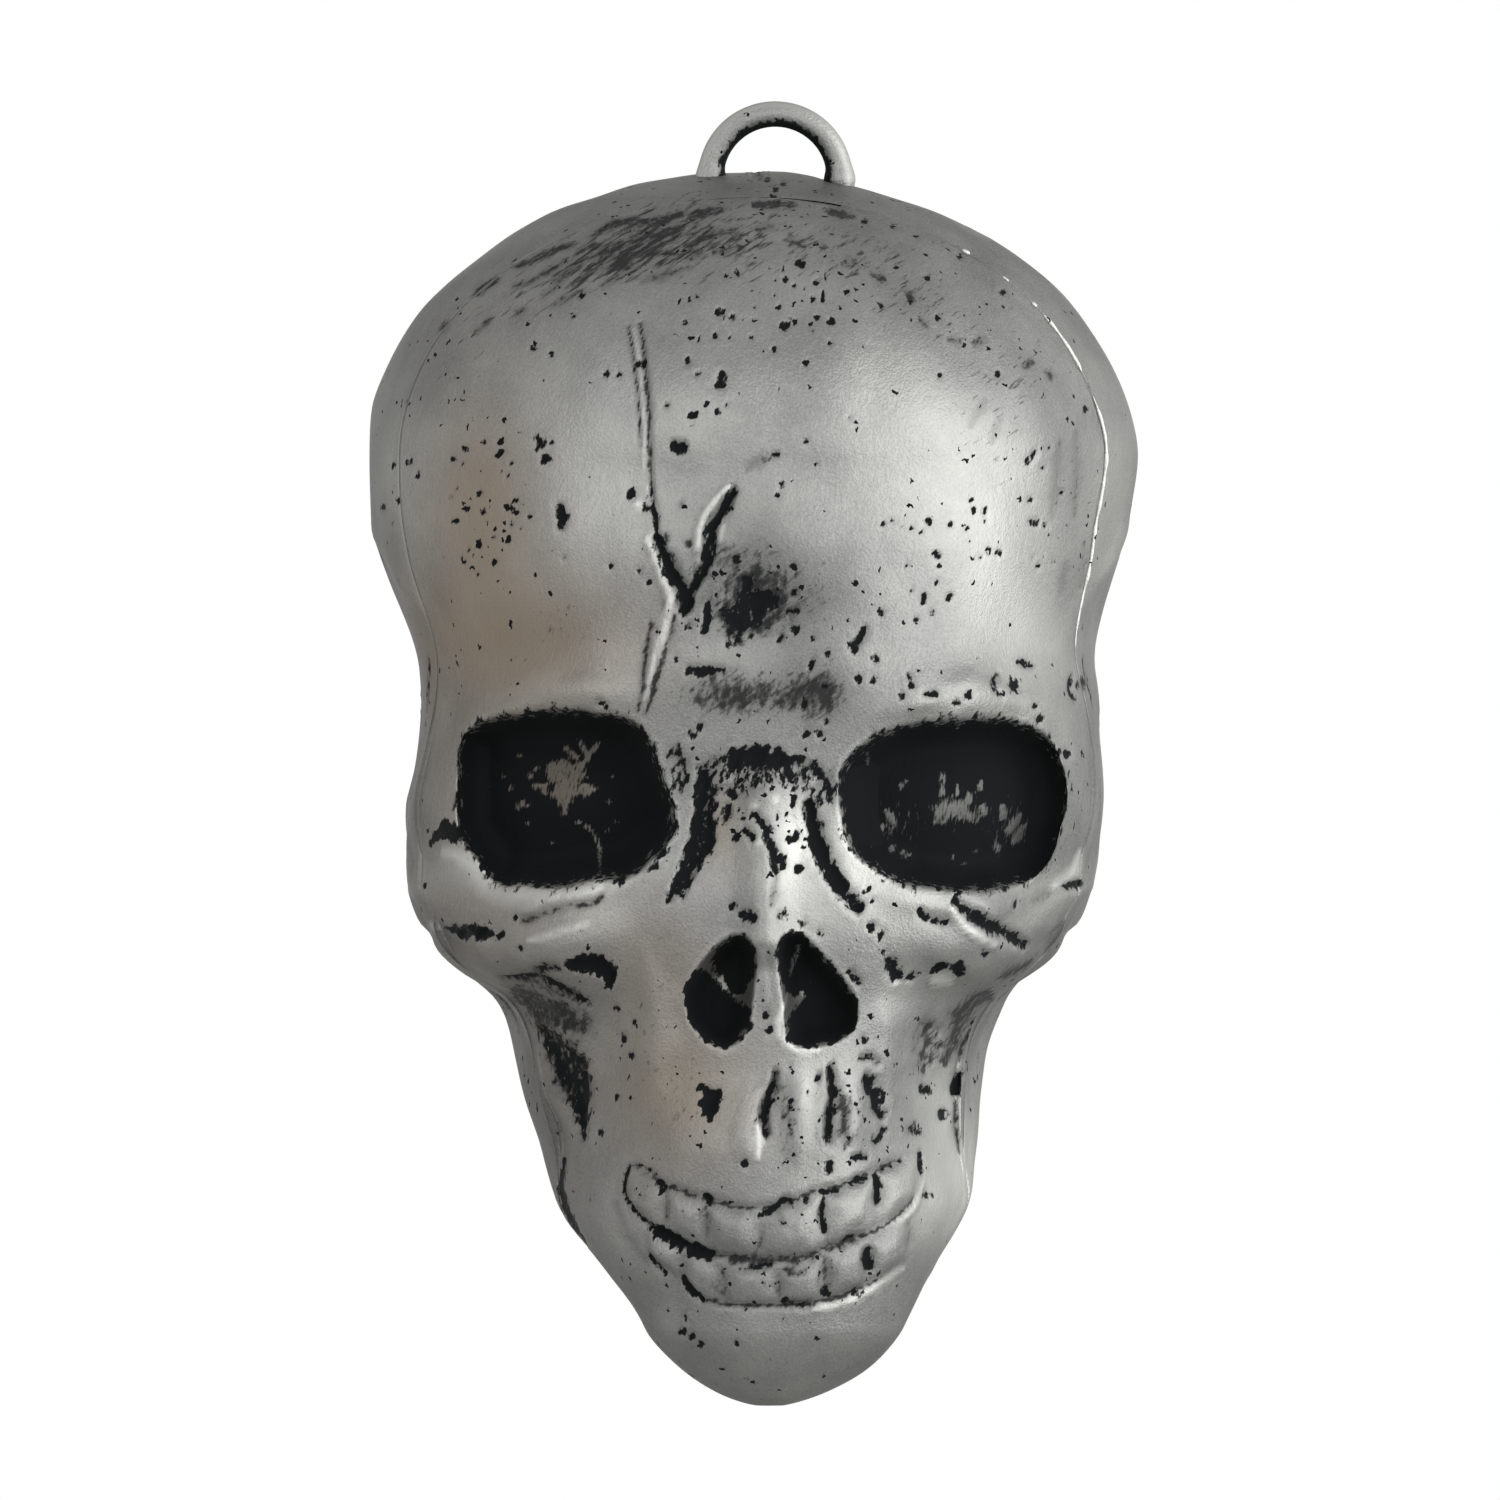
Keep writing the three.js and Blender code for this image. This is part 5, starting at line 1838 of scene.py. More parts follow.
    def bridge(self) -> list[Mark]:
        """The black root of the nose and the grooves beside its bridge.

        Returns:
            The marks.
        """
        return [
            Patch(px("724,755 741,745 765,744 778,752 798,757 795,769 771,766 748,767 728,772"), 0.8,
                  depth=0.4, bare=0.95),
            Patch(px("694,759 731,749 765,744 798,755 832,766 845,786 839,813 812,806 798,792 778,786 "
                     "758,792 731,799 714,792 697,792"), 0.8, depth=0.3, bare=0.52, wash=0.45),
            Patch(px("664,742 690,748 694,775 690,800 676,806 664,780"), 0.8,
                  depth=0.2, bare=0.52, wash=0.45),
            Patch(px("693,768 716,770 718,800 720,838 706,864 690,890 668,900 676,872 685,843 692,809"),
                  0.8, depth=0.8, bare=0.72, wash=0.5),
            Cloud(px("752,788"), 6.0, 4.0, wash=0.2, speck=0.5),
            # Specks with a painted warm reflection.
            Cloud(px("720,825"), 2.6, 5.0, wash=0.3, speck=0.4, warm=0.4),
            cut(0.7, "700,766 703,790 697,830 686,862 674,886 668,902", depth=0.5),
            cut(0.4, "690,880 682,899", bare=0.8),
            cut(1.05, "808,799 812,825 821,852 833,876 848,896 862,910", depth=0.9, lip=0.06),
            # Painted highlights beside the right groove.
            Cloud(px("845,842"), 1.7, 5.0, turn=0.3, polish=0.6),
            Cloud(px("866,878"), 3.0, 3.0, turn=0.3, polish=0.4),
            Cloud(px("796,834"), 2.4, 5.6, speck=0.5, polish=0.75),
            Cloud(px("812,890"), 5.0, 6.0, polish=0.45),
            *spots(0.5, "870,925 880,931 732,904 803,922 819,931 663,852 656,866 672,848"),
            *spots(0.65, "783,913 860,905"),
            cut(0.7, "754,813 764,824 771,842 776,858 778,873", bare=0.9),
            smear(0.5, "778,873 776,890 770,907", amount=0.7),
            cut(0.5, "741,826 748,834 754,843"),
            cut(0.45, "724,802 730,812 722,822", bare=0.75),
            # Small painted highlights.
            *(glint(0.45, at, rise=0.15) for at in (
                "757,842 728,779 748,778 776,800 754,806 735,786 812,781".split())),
            Scatter(px("792,826"), 2.4, 6.0, count=26, small=0.16, large=0.5, seed=31),
            Scatter(px("728,806"), 3.0, 5.0, count=20, small=0.16, large=0.5, seed=32),
            cut(0.7, "738,911 748,915 757,917"),
            Cloud(px("755,905"), 6.0, 2.4, wash=0.2),
        ]

    def nose(self) -> list[Mark]:
        """The black openings of the nose with the silver webs across them.

        Returns:
            The marks.
        """
        return [
            Patch(px("709,958 723,942 739,932 753,940 757,963 752,979 746,993 737,992 725,982 716,970"),
                  0.55, bare=1.0),
            Patch(px("684,988 694,970 707,967 719,980 733,992 749,1004 753,1015 746,1031 729,1048 707,1040 "
                     "695,1026 687,1014"), 0.55, bare=1.0),
            Patch(px("776,944 787,930 801,932 814,945 828,961 842,979 857,998 858,1016 851,1031 835,1040 "
                     "801,1045 786,1038 785,1023 787,1009 797,1002 803,992 788,991 780,982"), 0.55, bare=1.0),
            rub(0.3, "709,969 720,982 732,993 746,1004"),
            rub(0.35, "798,943 795,958 790,974"),
            rub(0.3, "806,992 790,1010"),
            # Painted highlights on the nostril's rim and the septum.
            glint(0.4, "786,994 781,1008 775,1028 787,1043 801,1050 819,1048", rise=0.15, shine=0.6),
            glint(0.45, "762,945 765,975 767,1000", rise=0.12, shine=0.2),
            Cloud(px("764,992"), 1.6, 5.0, wash=0.4, speck=0.35),
            *spots(0.5, "766,1014 769,1028 870,924 863,1037"),
            cut(0.4, "847,968 860,984"),
            cut(0.9, "888,955 891,966 897,980", depth=0.6),
        ]

    def left_cheek(self) -> list[Mark]:
        """The slits, creases and dark hollow of the left cheek.

        Returns:
            The marks.
        """
        return [
            Patch(px("434,921 446,926 463,924 486,924 513,931 500,936 486,938 460,938 446,934"), 0.5,
                  depth=0.8, bare=1.0),
            glint(0.7, "429,925 436,931"),
            # A painted shadow along the crease.
            Stroke(px("524,921 542,914 555,907 575,905 593,903 606,894"), 0.7, depth=0.45, wash=0.55),
            # Painted highlights below the crease and along the socket's lower edge.
            glint(0.4, "531,938 552,933 575,926 593,921", rise=0.12, shine=0.5),
            glint(1.1, "442,852 468,856 492,890 520,896 560,894 604,887", rise=0.1, shine=0.45),
            Cloud(px("470,868"), 4.0, 2.2, turn=-0.5, polish=0.5),
            Patch(px("562,959 584,950 603,952 618,962 620,978 612,990 604,976 590,975 574,968"), 0.6,
                  depth=0.9, bare=1.0),
            cut(0.7, "535,967 550,964 564,964", bare=0.85),
            cut(0.5, "504,975 536,973 555,979 574,991 593,1003", bare=0.85),
            Patch(px("504,982 540,995 576,1006 593,1022 589,1036 571,1031 553,1027 535,1029 522,1013"),
                  1.0, depth=0.6, wash=0.95),
            Patch(px("528,1022 553,1022 571,1036 589,1056 592,1089 587,1103 587,1137 578,1139 571,1107 "
                     "555,1092 549,1062 537,1036"), 0.9, depth=0.8, bare=0.66, wash=0.8),
            cut(0.8, "583,1070 584,1095 581,1118 583,1136", depth=0.3, bare=0.9),
            Cloud(px("548,985"), 8.0, 3.0, turn=-0.3, wash=0.5),
            Cloud(px("555,1070"), 5.0, 9.0, turn=0.1, wash=0.25, speck=0.1),
            *spots(0.45, "601,1130 634,1053 625,1036 636,1020 618,1008 527,946 519,917 618,1094"),
            # The warm tints below are painted reflections.
            Cloud(px("675,1085"), 8.0, 10.0, wash=0.48, speck=0.1, warm=0.6),
            Cloud(px("655,965"), 6.0, 7.0, wash=0.38, warm=0.35),
            Cloud(px("480,900"), 14.0, 60.0, warm=0.25),
        ]

    def right_cheek(self) -> list[Mark]:
        """The arch, hollow and dark flecks of the right cheek.

        Returns:
            The marks.
        """
        return [
            cut(0.5, "906,979 917,975"),
            Patch(px("926,976 934,961 948,955 959,957 960,972 951,972 944,964 936,968"), 0.5,
                  depth=0.6, bare=1.0),
            # A painted highlight under the arch.
            glint(0.8, "930,981 940,978 951,980", rise=0.3),
            smear(1.3, "992,993 971,1000 957,1018 954,1040 942,1064", amount=0.9),
            Patch(px("912,1022 928,1012 946,1020 950,1045 938,1072 922,1084 910,1060"), 1.6,
                  depth=0.9, bare=0.3, wash=0.75),
            # A painted highlight.
            glint(0.6, "932,1030 940,1042"),
            cut(0.9, "960,1070 957,1082 955,1094"),
            cut(0.65, "942,1106 944,1120"),
            cut(0.4, "921,1082 922,1092"),
            *spots(0.5, "925,1089"),
            Patch(px("900,1122 912,1118 922,1124 918,1136 904,1136"), 0.6, depth=0.2, bare=0.6, wash=0.4),
            Cloud(px("1010,985"), 7.0, 3.0, turn=0.5, wash=0.3, speck=0.1),
            Cloud(px("975,1040"), 3.5, 8.0, turn=-0.3, wash=0.3, speck=0.08),
            # Painted highlights on the jaw and the cheek.
            Cloud(px("958,1142"), 3.6, 11.0, turn=0.2, polish=0.6),
            Cloud(px("932,1195"), 4.0, 9.0, turn=0.3, polish=0.35),
            Cloud(px("900,985"), 3.0, 4.0, polish=0.3),
            Cloud(px("892,905"), 6.0, 4.0, polish=0.35),
            *spots(0.35, "864,890 872,900 879,938 884,950 868,887"),
        ]

    def upper_jaw(self) -> list[Mark]:
        """The dark spot and the grooves between the roots.

        Returns:
            The marks.
        """
        return [
            Patch(px("699,1089 704,1078 711,1082 719,1084 724,1097 719,1109 712,1118 705,1112 700,1104"), 0.6,
                  depth=0.7, bare=0.95),
            cut(0.65, "775,1066 774,1080 765,1096 764,1114 768,1133", depth=0.7, lip=0.15, bare=0.86),
            # A painted highlight.
            glint(0.5, "757,1117 758,1135 757,1154"),
            cut(0.65, "829,1061 834,1088 827,1112 829,1141", depth=0.7, lip=0.15, bare=0.86),
            smear(1.2, "841,1090 842,1118 846,1145", amount=0.75),
            cut(0.35, "815,1078 820,1069", bare=0.8),
            cut(0.4, "858,1055 871,1053 877,1063", bare=0.8),
            cut(0.95, "864,1072 874,1090 878,1106 885,1112", depth=0.7, lip=0.15, bare=0.84),
            cut(0.5, "882,1122 884,1131 877,1138 871,1133", bare=0.85),
            *spots(0.5, "790,1097 829,1160 829,1167 745,1159"),
            cut(0.4, "850,1154 869,1152"),
            Cloud(px("793,1138"), 3.0, 5.0, wash=0.5, speck=0.2),
            Cloud(px("786,1095"), 2.0, 4.0, wash=0.45, speck=0.15),
            Cloud(px("862,1105"), 4.0, 6.0, wash=0.3, speck=0.35),
            # Painted highlights between the roots.
            Cloud(px("850,1108"), 1.0, 5.0, polish=0.4),
            Cloud(px("803,1095"), 1.4, 6.0, polish=0.35),
            Scatter(px("820,1100"), 9.0, 6.0, count=24, small=0.16, large=0.45, seed=51),
        ]

    def teeth(self) -> list[Mark]:
        """Both rows of teeth, the black between them and the edges of the gums.

        Returns:
            The marks.
        """
        gum = px("600,1150 625,1161 662,1180 708,1198 758,1208 795,1196 821,1185 839,1183 859,1176 "
                 "873,1168 893,1158 917,1147 940,1135")
        bite = px("605,1180 630,1200 657,1223 692,1239 719,1249 772,1253 811,1247 830,1237 871,1226 "
                  "905,1203 921,1177 940,1160")
        foot = px("640,1240 682,1276 699,1295 730,1301 781,1299 821,1299 864,1284 878,1274 901,1259 925,1230")
        crest = bite + np.array([0.0, -1.2])
        return [
            ToothRow((625, 666, 705, 759, 823, 877, 919), gum, bite, 0.85),
            ToothRow((649, 684, 722, 778, 824, 867, 905), crest, foot, 0.75),
            # Painted shade along the biting edge, the gum line and the foot of the lower row.
            Stroke(bite[1:-1] + np.array([0.0, -0.5]), 0.5, depth=0.55, wash=0.4, fade=0.12),
            Stroke(gum[1:-1] + np.array([0.0, 0.2]), 0.5, depth=0.35, wash=0.12, fade=0.15),
            Stroke(foot[1:-1], 0.5, depth=0.4, wash=0.2, fade=0.2),
            cut(0.35, "629,1160 622,1184 630,1200 641,1213 649,1219", depth=0.3, bare=0.82),
            cut(0.3, "629,1160 645,1163 657,1171", depth=0.25, bare=0.75),
            Patch(px("655,1170 662,1170 668,1181 664,1192 657,1188"), 0.5, depth=0.2, bare=0.85),
            Cloud(px("648,1190"), 2.2, 2.2, wash=0.3, speck=0.1),
            *spots(0.6, "709,1195 784,1295 925,1191"),
            cut(0.35, "703,1189 709,1195"),
            cut(0.5, "793,1197 782,1195 775,1202 765,1209 758,1211", depth=0.25),
            smear(0.6, "778,1206 784,1222", amount=0.6),
            *spots(0.45, "807,1195"),
            cut(0.45, "818,1187 839,1187", depth=0.3),
            cut(0.4, "847,1180 869,1172", depth=0.3),
            cut(0.3, "869,1172 888,1163 904,1155", depth=0.25, bare=0.7),
            cut(0.45, "824,1193 821,1211 824,1231"),
            cut(0.5, "875,1170 878,1186 876,1200"),
            cut(0.42, "920,1147 918,1160 921,1171"),
            smear(0.4, "666,1185 668,1203 666,1220", amount=0.5),
            smear(0.4, "705,1199 708,1217 706,1236", amount=0.5),
            smear(0.4, "759,1214 762,1230 760,1245", amount=0.4),
            Patch(px("648,1219 653,1215 665,1221 679,1230 695,1238 711,1246 721,1251 711,1256 692,1254 "
                     "681,1246 665,1238 654,1234"), 0.55, depth=0.6, bare=0.95),
            # A painted shadow below the bite.
            smear(0.6, "721,1251 745,1255 772,1250", amount=0.5),
            cut(0.35, "737,1262 754,1263 772,1259", bare=0.85),
            smear(0.4, "780,1262 794,1268 807,1264", amount=0.8),
            cut(0.35, "839,1243 847,1234 859,1232", bare=0.8),
            # A painted highlight.
            glint(0.45, "866,1229 887,1219 909,1208 918,1190 922,1176", shine=0.6),
            cut(0.65, "869,1241 866,1254 868,1266", bare=0.95),
            smear(0.7, "823,1250 825,1270 825,1288", amount=0.6),
            *spots(0.7, "825,1288 855,1287"),
            smear(0.5, "905,1217 908,1230 903,1244", amount=0.65),
            smear(0.4, "722,1266 726,1280 722,1294", amount=0.5),
            smear(0.4, "778,1272 780,1284 778,1298", amount=0.45),
            # A painted shadow.
            smear(0.7, "711,1278 722,1288 732,1294", amount=0.45),
            cut(0.5, "783,1296 797,1300 812,1299", bare=0.72),
            cut(0.55, "681,1271 689,1286 703,1296", bare=0.9),
            cut(0.35, "649,1248 657,1262 668,1271", bare=0.85),
            smear(0.5, "617,1197 630,1230 652,1262", amount=0.5),
            # A painted highlight along the lower teeth.
            glint(0.6, "812,1303 830,1302 846,1298 864,1288 878,1278 901,1263", rise=0.15, shine=0.6),
            *spots(0.45, "684,1314 682,1327 692,1332 737,1337 700,1340"),
            Cloud(px("720,1220"), 13.0, 5.0, turn=-0.2, wash=0.2, speck=0.25),
            Cloud(px("760,1275"), 13.0, 4.0, wash=0.26, speck=0.3),
            Cloud(px("740,1350"), 12.0, 5.0, wash=0.2, speck=0.06),
        ]


@dataclass(frozen=True)
class Shell:
    """One half of the skull: a thin moulded wall with its marks and paint."""

    grid: ShellGrid
    work: PaintWork
    place: Place
    name: str
    ripple: float = 0.1
    waves: int = 14
    free_depth: float = 0.9
    soft_depth: float = 0.5
    least_lean: float = 0.3
    wave_lengths: tuple[float, float] = (9.0, 24.0)
    speck: float = 0.04
    smoothing: int = 5
    seam_band: tuple[float, float] = (0.3, 2.0)
    crevice_dark: float = 0.9
    crevice_dark_depth: tuple[float, float] = (0.05, 0.28)
    shine: float = 0.1
    shine_height: tuple[float, float] = (-0.05, -0.25)
    seed: int = 31

    def skin(self, wall: Wall, corners: Array) -> Skin:
        """Lays the marks on the shell's outer skin.

        Args:
            wall: The plain shell.
            corners: Four corners for each of its faces.

        Returns:
            The skin with its lift and paint.
        """
        count = len(wall.points)
        paint = {name: np.zeros(count) for name in PAINTS}
        paint["speck"] += self.speck
        skin = Skin(wall.points, point_normals(wall.points, corners), np.full(count, -self.ripple), paint)
        chance = np.random.default_rng(self.seed)
        for _ in range(self.waves):
            way = chance.normal(size=3)
            way *= 2.0 * math.pi / (np.linalg.norm(way) * chance.uniform(*self.wave_lengths))
            skin.lift += self.ripple * 0.4 * np.sin(wall.points @ way + chance.uniform(0.0, 6.3))
        for mark in self.work.marks():
            mark.apply(skin)
        return skin

    def held(self, skin: Skin) -> Array:
        """Keeps marks from sinking through the wall, which is thinner where it leans over.

        Args:
            skin: The skin with its lift.

        Returns:
            The lift that each point takes.
        """
        lean = np.maximum(np.hypot(skin.normals[:, 0], skin.normals[:, 1]), self.least_lean)
        steep = np.where(skin.normals[:, 2] < 0.0, lean, 1.0)
        sunk = np.maximum(-self.free_depth * steep - skin.lift, 0.0)
        return skin.lift + sunk - self.soft_depth * steep * (1.0 - np.exp(-sunk / (self.soft_depth * steep)))

    def build(self) -> bpy.types.Object:
        """Makes the shell's mesh, with its paint layers kept on the points.

        Returns:
            The object.
        """
        wall = self.grid.build()
        corners = corner_table(wall.faces)
        skin = self.skin(wall, corners)
        lift = np.where(wall.outer, self.held(skin), 0.0)
        points = wall.points + skin.normals * lift[:, None]
        points[wall.rim, 1] = wall.points[wall.rim, 1]
        limit = self.grid.edge
        if self.grid.side is Side.FACE:
            points[wall.outer, 1] = np.minimum(points[wall.outer, 1], limit)
        else:
            points[wall.outer, 1] = np.maximum(points[wall.outer, 1], limit)
        normals = point_normals(points, corners)
        # Hollows get black left by the brush and painted shade; swells get a painted highlight.
        hollow = ((relaxed(points, corners, self.smoothing) - points) * normals).sum(1)
        hollow *= smooth(*self.seam_band, np.abs(points[:, 1] - limit))
        skin.paint["wash"] += self.crevice_dark * smooth(*self.crevice_dark_depth, hollow)
        skin.paint["polish"] += self.shine * smooth(*self.shine_height, hollow)
        skin.paint["bare"][~wall.outer] = 1.0
        low, high = np.array(CAD_BOX)
        metres = np.clip(eased(self.place.metres(points)), low + 1e-6, high - 1e-6)
        piece = new_piece(self.name, metres, wall.faces)
        store_paints(piece.data, skin.paint)
        return piece


@dataclass(frozen=True)
class ScrewPlaces:
    """Where the four screws stand, and the sizes of their wells."""

    form: SkullForm
    parting: float = PARTING
    wall: float = WALL
    land: float = 1.2
    seat: float = -14.85
    boss: float = 5.1
    well: float = 3.3
    shank_hole: float = 1.8
    heights: tuple[float, ...] = (131.0, 31.0)

    def centres(self) -> list[tuple[float, float]]:
        """Finds the screws' places beside the wall.

        Returns:
            The x and z place of each screw.
        """
        found = []
        for z in self.heights:
            s = self.form.section(np.array(z), self.wall)
            share = min(1.0, abs(self.parting - float(s.axis)) / float(s.to_front))
            half = float(s.half) * (1.0 - share ** float(s.power)) ** (1.0 / float(s.power))
            found += [(float(s.middle) + sign * (half - self.boss - self.land), z) for sign in (1.0, -1.0)]
        return found


def turned_rod(name: str, rings: list[Array]) -> bpy.types.Object:
    """Closes rings of points into a round solid.

    Args:
        name: The solid's name.
        rings: Rings of points in metres, each with as many points, in order along the solid.

    Returns:
        The object.
    """
    sides = len(rings[0])
    faces = []
    for i in range(len(rings) - 1):
        for k in range(sides):
            after = (k + 1) % sides
            faces.append((i * sides + k, i * sides + after, (i + 1) * sides + after, (i + 1) * sides + k))
    points = np.concatenate([*rings, rings[0].mean(0, keepdims=True), rings[-1].mean(0, keepdims=True)])
    first = len(points) - 2
    last = (len(rings) - 1) * sides
    for k in range(sides):
        after = (k + 1) % sides
        faces.append((first, after, k))
        faces.append((first + 1, last + k, last + after))
    piece = new_piece(name, points, faces)
    outward(piece.data)
    return piece


@dataclass(frozen=True)
class BackShell:
    """The rear moulding with its four screw wells and the holes for the loop's legs."""

    shell: Shell
    screws: ScrewPlaces
    loop: "HangingLoop"
    sides: int = 40
    bite: float = 1.0
    past: float = 4.0
    outside: float = 70.0
    leg_depth: float = 12.0
    leg_play: float = 0.3
    well_rim: float = 0.05
    paint_reach: float = 0.9

    def ring(self, x: float, z: float, radius: float) -> Array:
        """Places round a screw's axis in the frontal plane."""
        turn = np.linspace(0.0, 2.0 * math.pi, self.sides, endpoint=False)
        return np.stack([x + radius * np.cos(turn), np.zeros(self.sides), z + radius * np.sin(turn)], axis=1)

    def bosses(self) -> list[bpy.types.Object]:
        """Makes the tubes that reach from the parting plane into the rear wall.

        Returns:
            The solids.
        """
        made = []
        for i, (x, z) in enumerate(self.screws.centres()):
            near = self.ring(x, z, self.screws.boss)
            far = near.copy()
            near[:, 1] = self.screws.parting
            far[:, 1] = [self.screws.form.rear_depth(x_at, z_at, self.bite) for x_at, _, z_at in far]
            rings = [self.shell.place.metres(ring) for ring in (near, far)]
            made.append(turned_rod(f"boss_{i}", rings))
        return made

    def cutters(self) -> list[bpy.types.Object]:
        """Makes the solids that cut the wells and the loop's holes.

        Returns:
            The solids.
        """
        made = []
        s = self.screws
        steps = (
            (s.parting - self.past, s.shank_hole), (s.seat, s.shank_hole), (s.seat, s.well),
            (self.outside, s.well))
        for i, (x, z) in enumerate(s.centres()):
            rings = []
            for y, radius in steps:
                ring = self.ring(x, z, radius)
                ring[:, 1] = y
                rings.append(self.shell.place.metres(ring))
            made.append(turned_rod(f"well_{i}", rings))
        for i, x in enumerate(self.loop.legs()):
            rings = []
            for z in (self.loop.form.height - self.leg_depth, self.loop.form.height + self.past):
                ring = self.ring(x, 0.0, self.loop.bar / 2.0 + self.leg_play)[:, [0, 2, 1]]
                ring[:, 1] += self.loop.offset[1]
                ring[:, 2] = z
                rings.append(self.shell.place.metres(ring))
            made.append(turned_rod(f"leg_hole_{i}", rings))
        return made

    def build(self) -> bpy.types.Object:
        """Makes the rear moulding and cuts its wells.

        Returns:
            The object.
        """
        piece = self.shell.build()
        plain = mesh_points(piece.data)
        layers = {}
        for name in PAINTS:
            values = np.empty(len(plain), np.float32)
            piece.data.attributes[name].data.foreach_get("value", values)
            layers[name] = values
        carve(piece, Joint.ADD, self.bosses())
        carve(piece, Joint.CUT, self.cutters())
        tree = KDTree(len(plain))
        for i, point in enumerate(plain.tolist()):
            tree.insert(point, i)
        tree.balance()
        at = mesh_points(piece.data)
        found = [tree.find(point) for point in at.tolist()]
        nearest = np.array([entry[1] for entry in found])
        raw = np.array([entry[2] for entry in found]) > self.paint_reach * MM
        flat = self.shell.place.millimetres(at)[:, [0, 2]]
        for centre in self.screws.centres():
            raw |= np.linalg.norm(flat - np.array(centre), axis=1) < self.screws.well + self.well_rim
        store_paints(piece.data, {
            name: np.where(raw, float(name == "bare"), layers[name][nearest]) for name in PAINTS})
        return piece


@dataclass(frozen=True)
class RoundBar:
    """A round bar that Geometry Nodes sweep along a path, as thick as the path's points say."""

    radius: float
    sides: int

    def tree(self) -> bpy.types.NodeTree:
        """Builds the node tree, with the bar's sizes as its inputs.

        Returns:
            The tree.
        """
        tree = node_tool("round_bar_on_path", {
            "Path": "Geometry", "Radius": "Float", "Sides": "Int", "Finish": "Material"}, "Bar")
        start = add_node(tree, "NodeGroupInput").outputs
        thick = add_node(tree, "GeometryNodeInputNamedAttribute", {"Name": "thick"}, data_type="FLOAT")
        line = add_node(tree, "GeometryNodeMeshToCurve", {"Mesh": start["Path"]})
        ring = add_node(tree, "GeometryNodeCurvePrimitiveCircle", {
            "Resolution": start["Sides"], "Radius": start["Radius"]})
        bar = add_node(tree, "GeometryNodeCurveToMesh", {
            "Curve": line, "Profile Curve": ring, "Scale": thick, "Fill Caps": True})
        real = add_node(tree, "GeometryNodeRealizeInstances", {"Geometry": bar})
        dressed = add_node(tree, "GeometryNodeSetMaterial", {
            "Geometry": real, "Material": start["Finish"]})
        add_node(tree, "NodeGroupOutput", {"Bar": dressed})
        return tree

    def sweep(
            self, name: str, runs: list[tuple[Array, Array]],
            material: bpy.types.Material) -> bpy.types.Object:
        """Sweeps the bar along paths and turns it into a plain mesh.

        Args:
            name: The piece's name.
            runs: Points in metres and thickness shares of each path.
            material: The bar's finish.

        Returns:
            The object.
        """
        edges = []
        start = 0
        for points, _ in runs:
            edges += [(start + i, start + i + 1) for i in range(len(points) - 1)]
            start += len(points)
        piece = new_piece(name, np.concatenate([points for points, _ in runs]), [], tuple(edges))
        store(piece.data, "thick", np.concatenate([thick for _, thick in runs]))
        run_tool(piece, self.tree(), {"Radius": self.radius, "Sides": self.sides, "Finish": material})
        return piece


@dataclass(frozen=True)
class HangingLoop:
    """The loop of round bar on the crown, with flared feet and the heads that hold it inside."""

    form: SkullForm
    bar: float = 3.3
    width: float = 19.9
    rise: float = 9.1
    offset: tuple[float, float] = (2.6, -5.0)
    head: float = 6.4
    head_thickness: float = 1.6
    flare: float = 0.24
    flare_length: float = 1.3
    foot: float = 157.4
    sides: int = 28
    leg_steps: int = 40
    turn_steps: int = 49

    def legs(self) -> tuple[float, float]:
        """The x places of the two legs."""
        return self.offset[0] - (self.width - self.bar) / 2.0, self.offset[0] + (self.width - self.bar) / 2.0

    def path(self, floor: float) -> tuple[Array, Array]:
        """Runs up one leg, over a half circle and down the other leg.

        Args:
            floor: The height of the legs' lower ends.

        Returns:
            Points of the centre line, and the bar's thickness share at each.
        """
        radius = (self.width - self.bar) / 2.0
        centre = self.form.height + self.rise - self.width / 2.0
        top = floor + self.head_thickness
        leg = np.concatenate([[floor, top, top + 0.02], np.linspace(top + 0.5, centre, self.leg_steps)])
        turn = np.linspace(0.0, math.pi, self.turn_steps)[1:-1]
        x = np.concatenate([np.full(len(leg), -radius), -radius * np.cos(turn), np.full(len(leg), radius)])
        z = np.concatenate([leg, centre + radius * np.sin(turn), leg[::-1]])
        thick = 1.0 + self.flare * np.exp(-((z - self.foot) / self.flare_length) ** 2)
        thick = np.where(z <= top, self.head / self.bar, thick)
        points = np.stack([x + self.offset[0], np.full(len(x), self.offset[1]), z], axis=1)
        return points, thick

    def build(self, place: Place, material: bpy.types.Material) -> bpy.types.Object:
        """Makes the loop and leaves its inner side black, with painted shade there and a painted highlight on
        its outer side.

        Args:
            place: The skull's place in the part.
            material: The silver paint.

        Returns:
            The object.
        """
        floor = float(place.millimetres(np.array(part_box("hanging_loop")[0]))[2])
        points, thick = self.path(floor)
        piece = RoundBar(self.bar / 2.0 * MM, self.sides).sweep(
            "hanging_loop_bar", [(place.metres(points), thick)], material)
        at = place.millimetres(mesh_points(piece.data))
        normals = mesh_points(piece.data, "normal")
        centre = np.array([self.offset[0], self.offset[1], self.form.height + self.rise - self.width / 2.0])
        inward = centre - at
        inward[:, 1] = 0.0
        inward[:, 2] = np.where(at[:, 2] < centre[2], 0.0, inward[:, 2])
        inward /= np.maximum(np.linalg.norm(inward, axis=1, keepdims=True), 1e-9)
        facing = (normals * inward).sum(1)
        below = smooth(self.foot - 0.6, self.foot - 2.0, at[:, 2])
        # Black and painted shade on the inner side, a painted highlight on the outer side.
        store_paints(piece.data, {
            "bare": np.maximum(0.5 + 1.2 * (facing - 0.5), below), "wash": 0.45 * smooth(0.0, 0.6, facing),
            "speck": 0.12, "polish": 0.5 * smooth(-0.2, -0.8, facing)})
        return piece


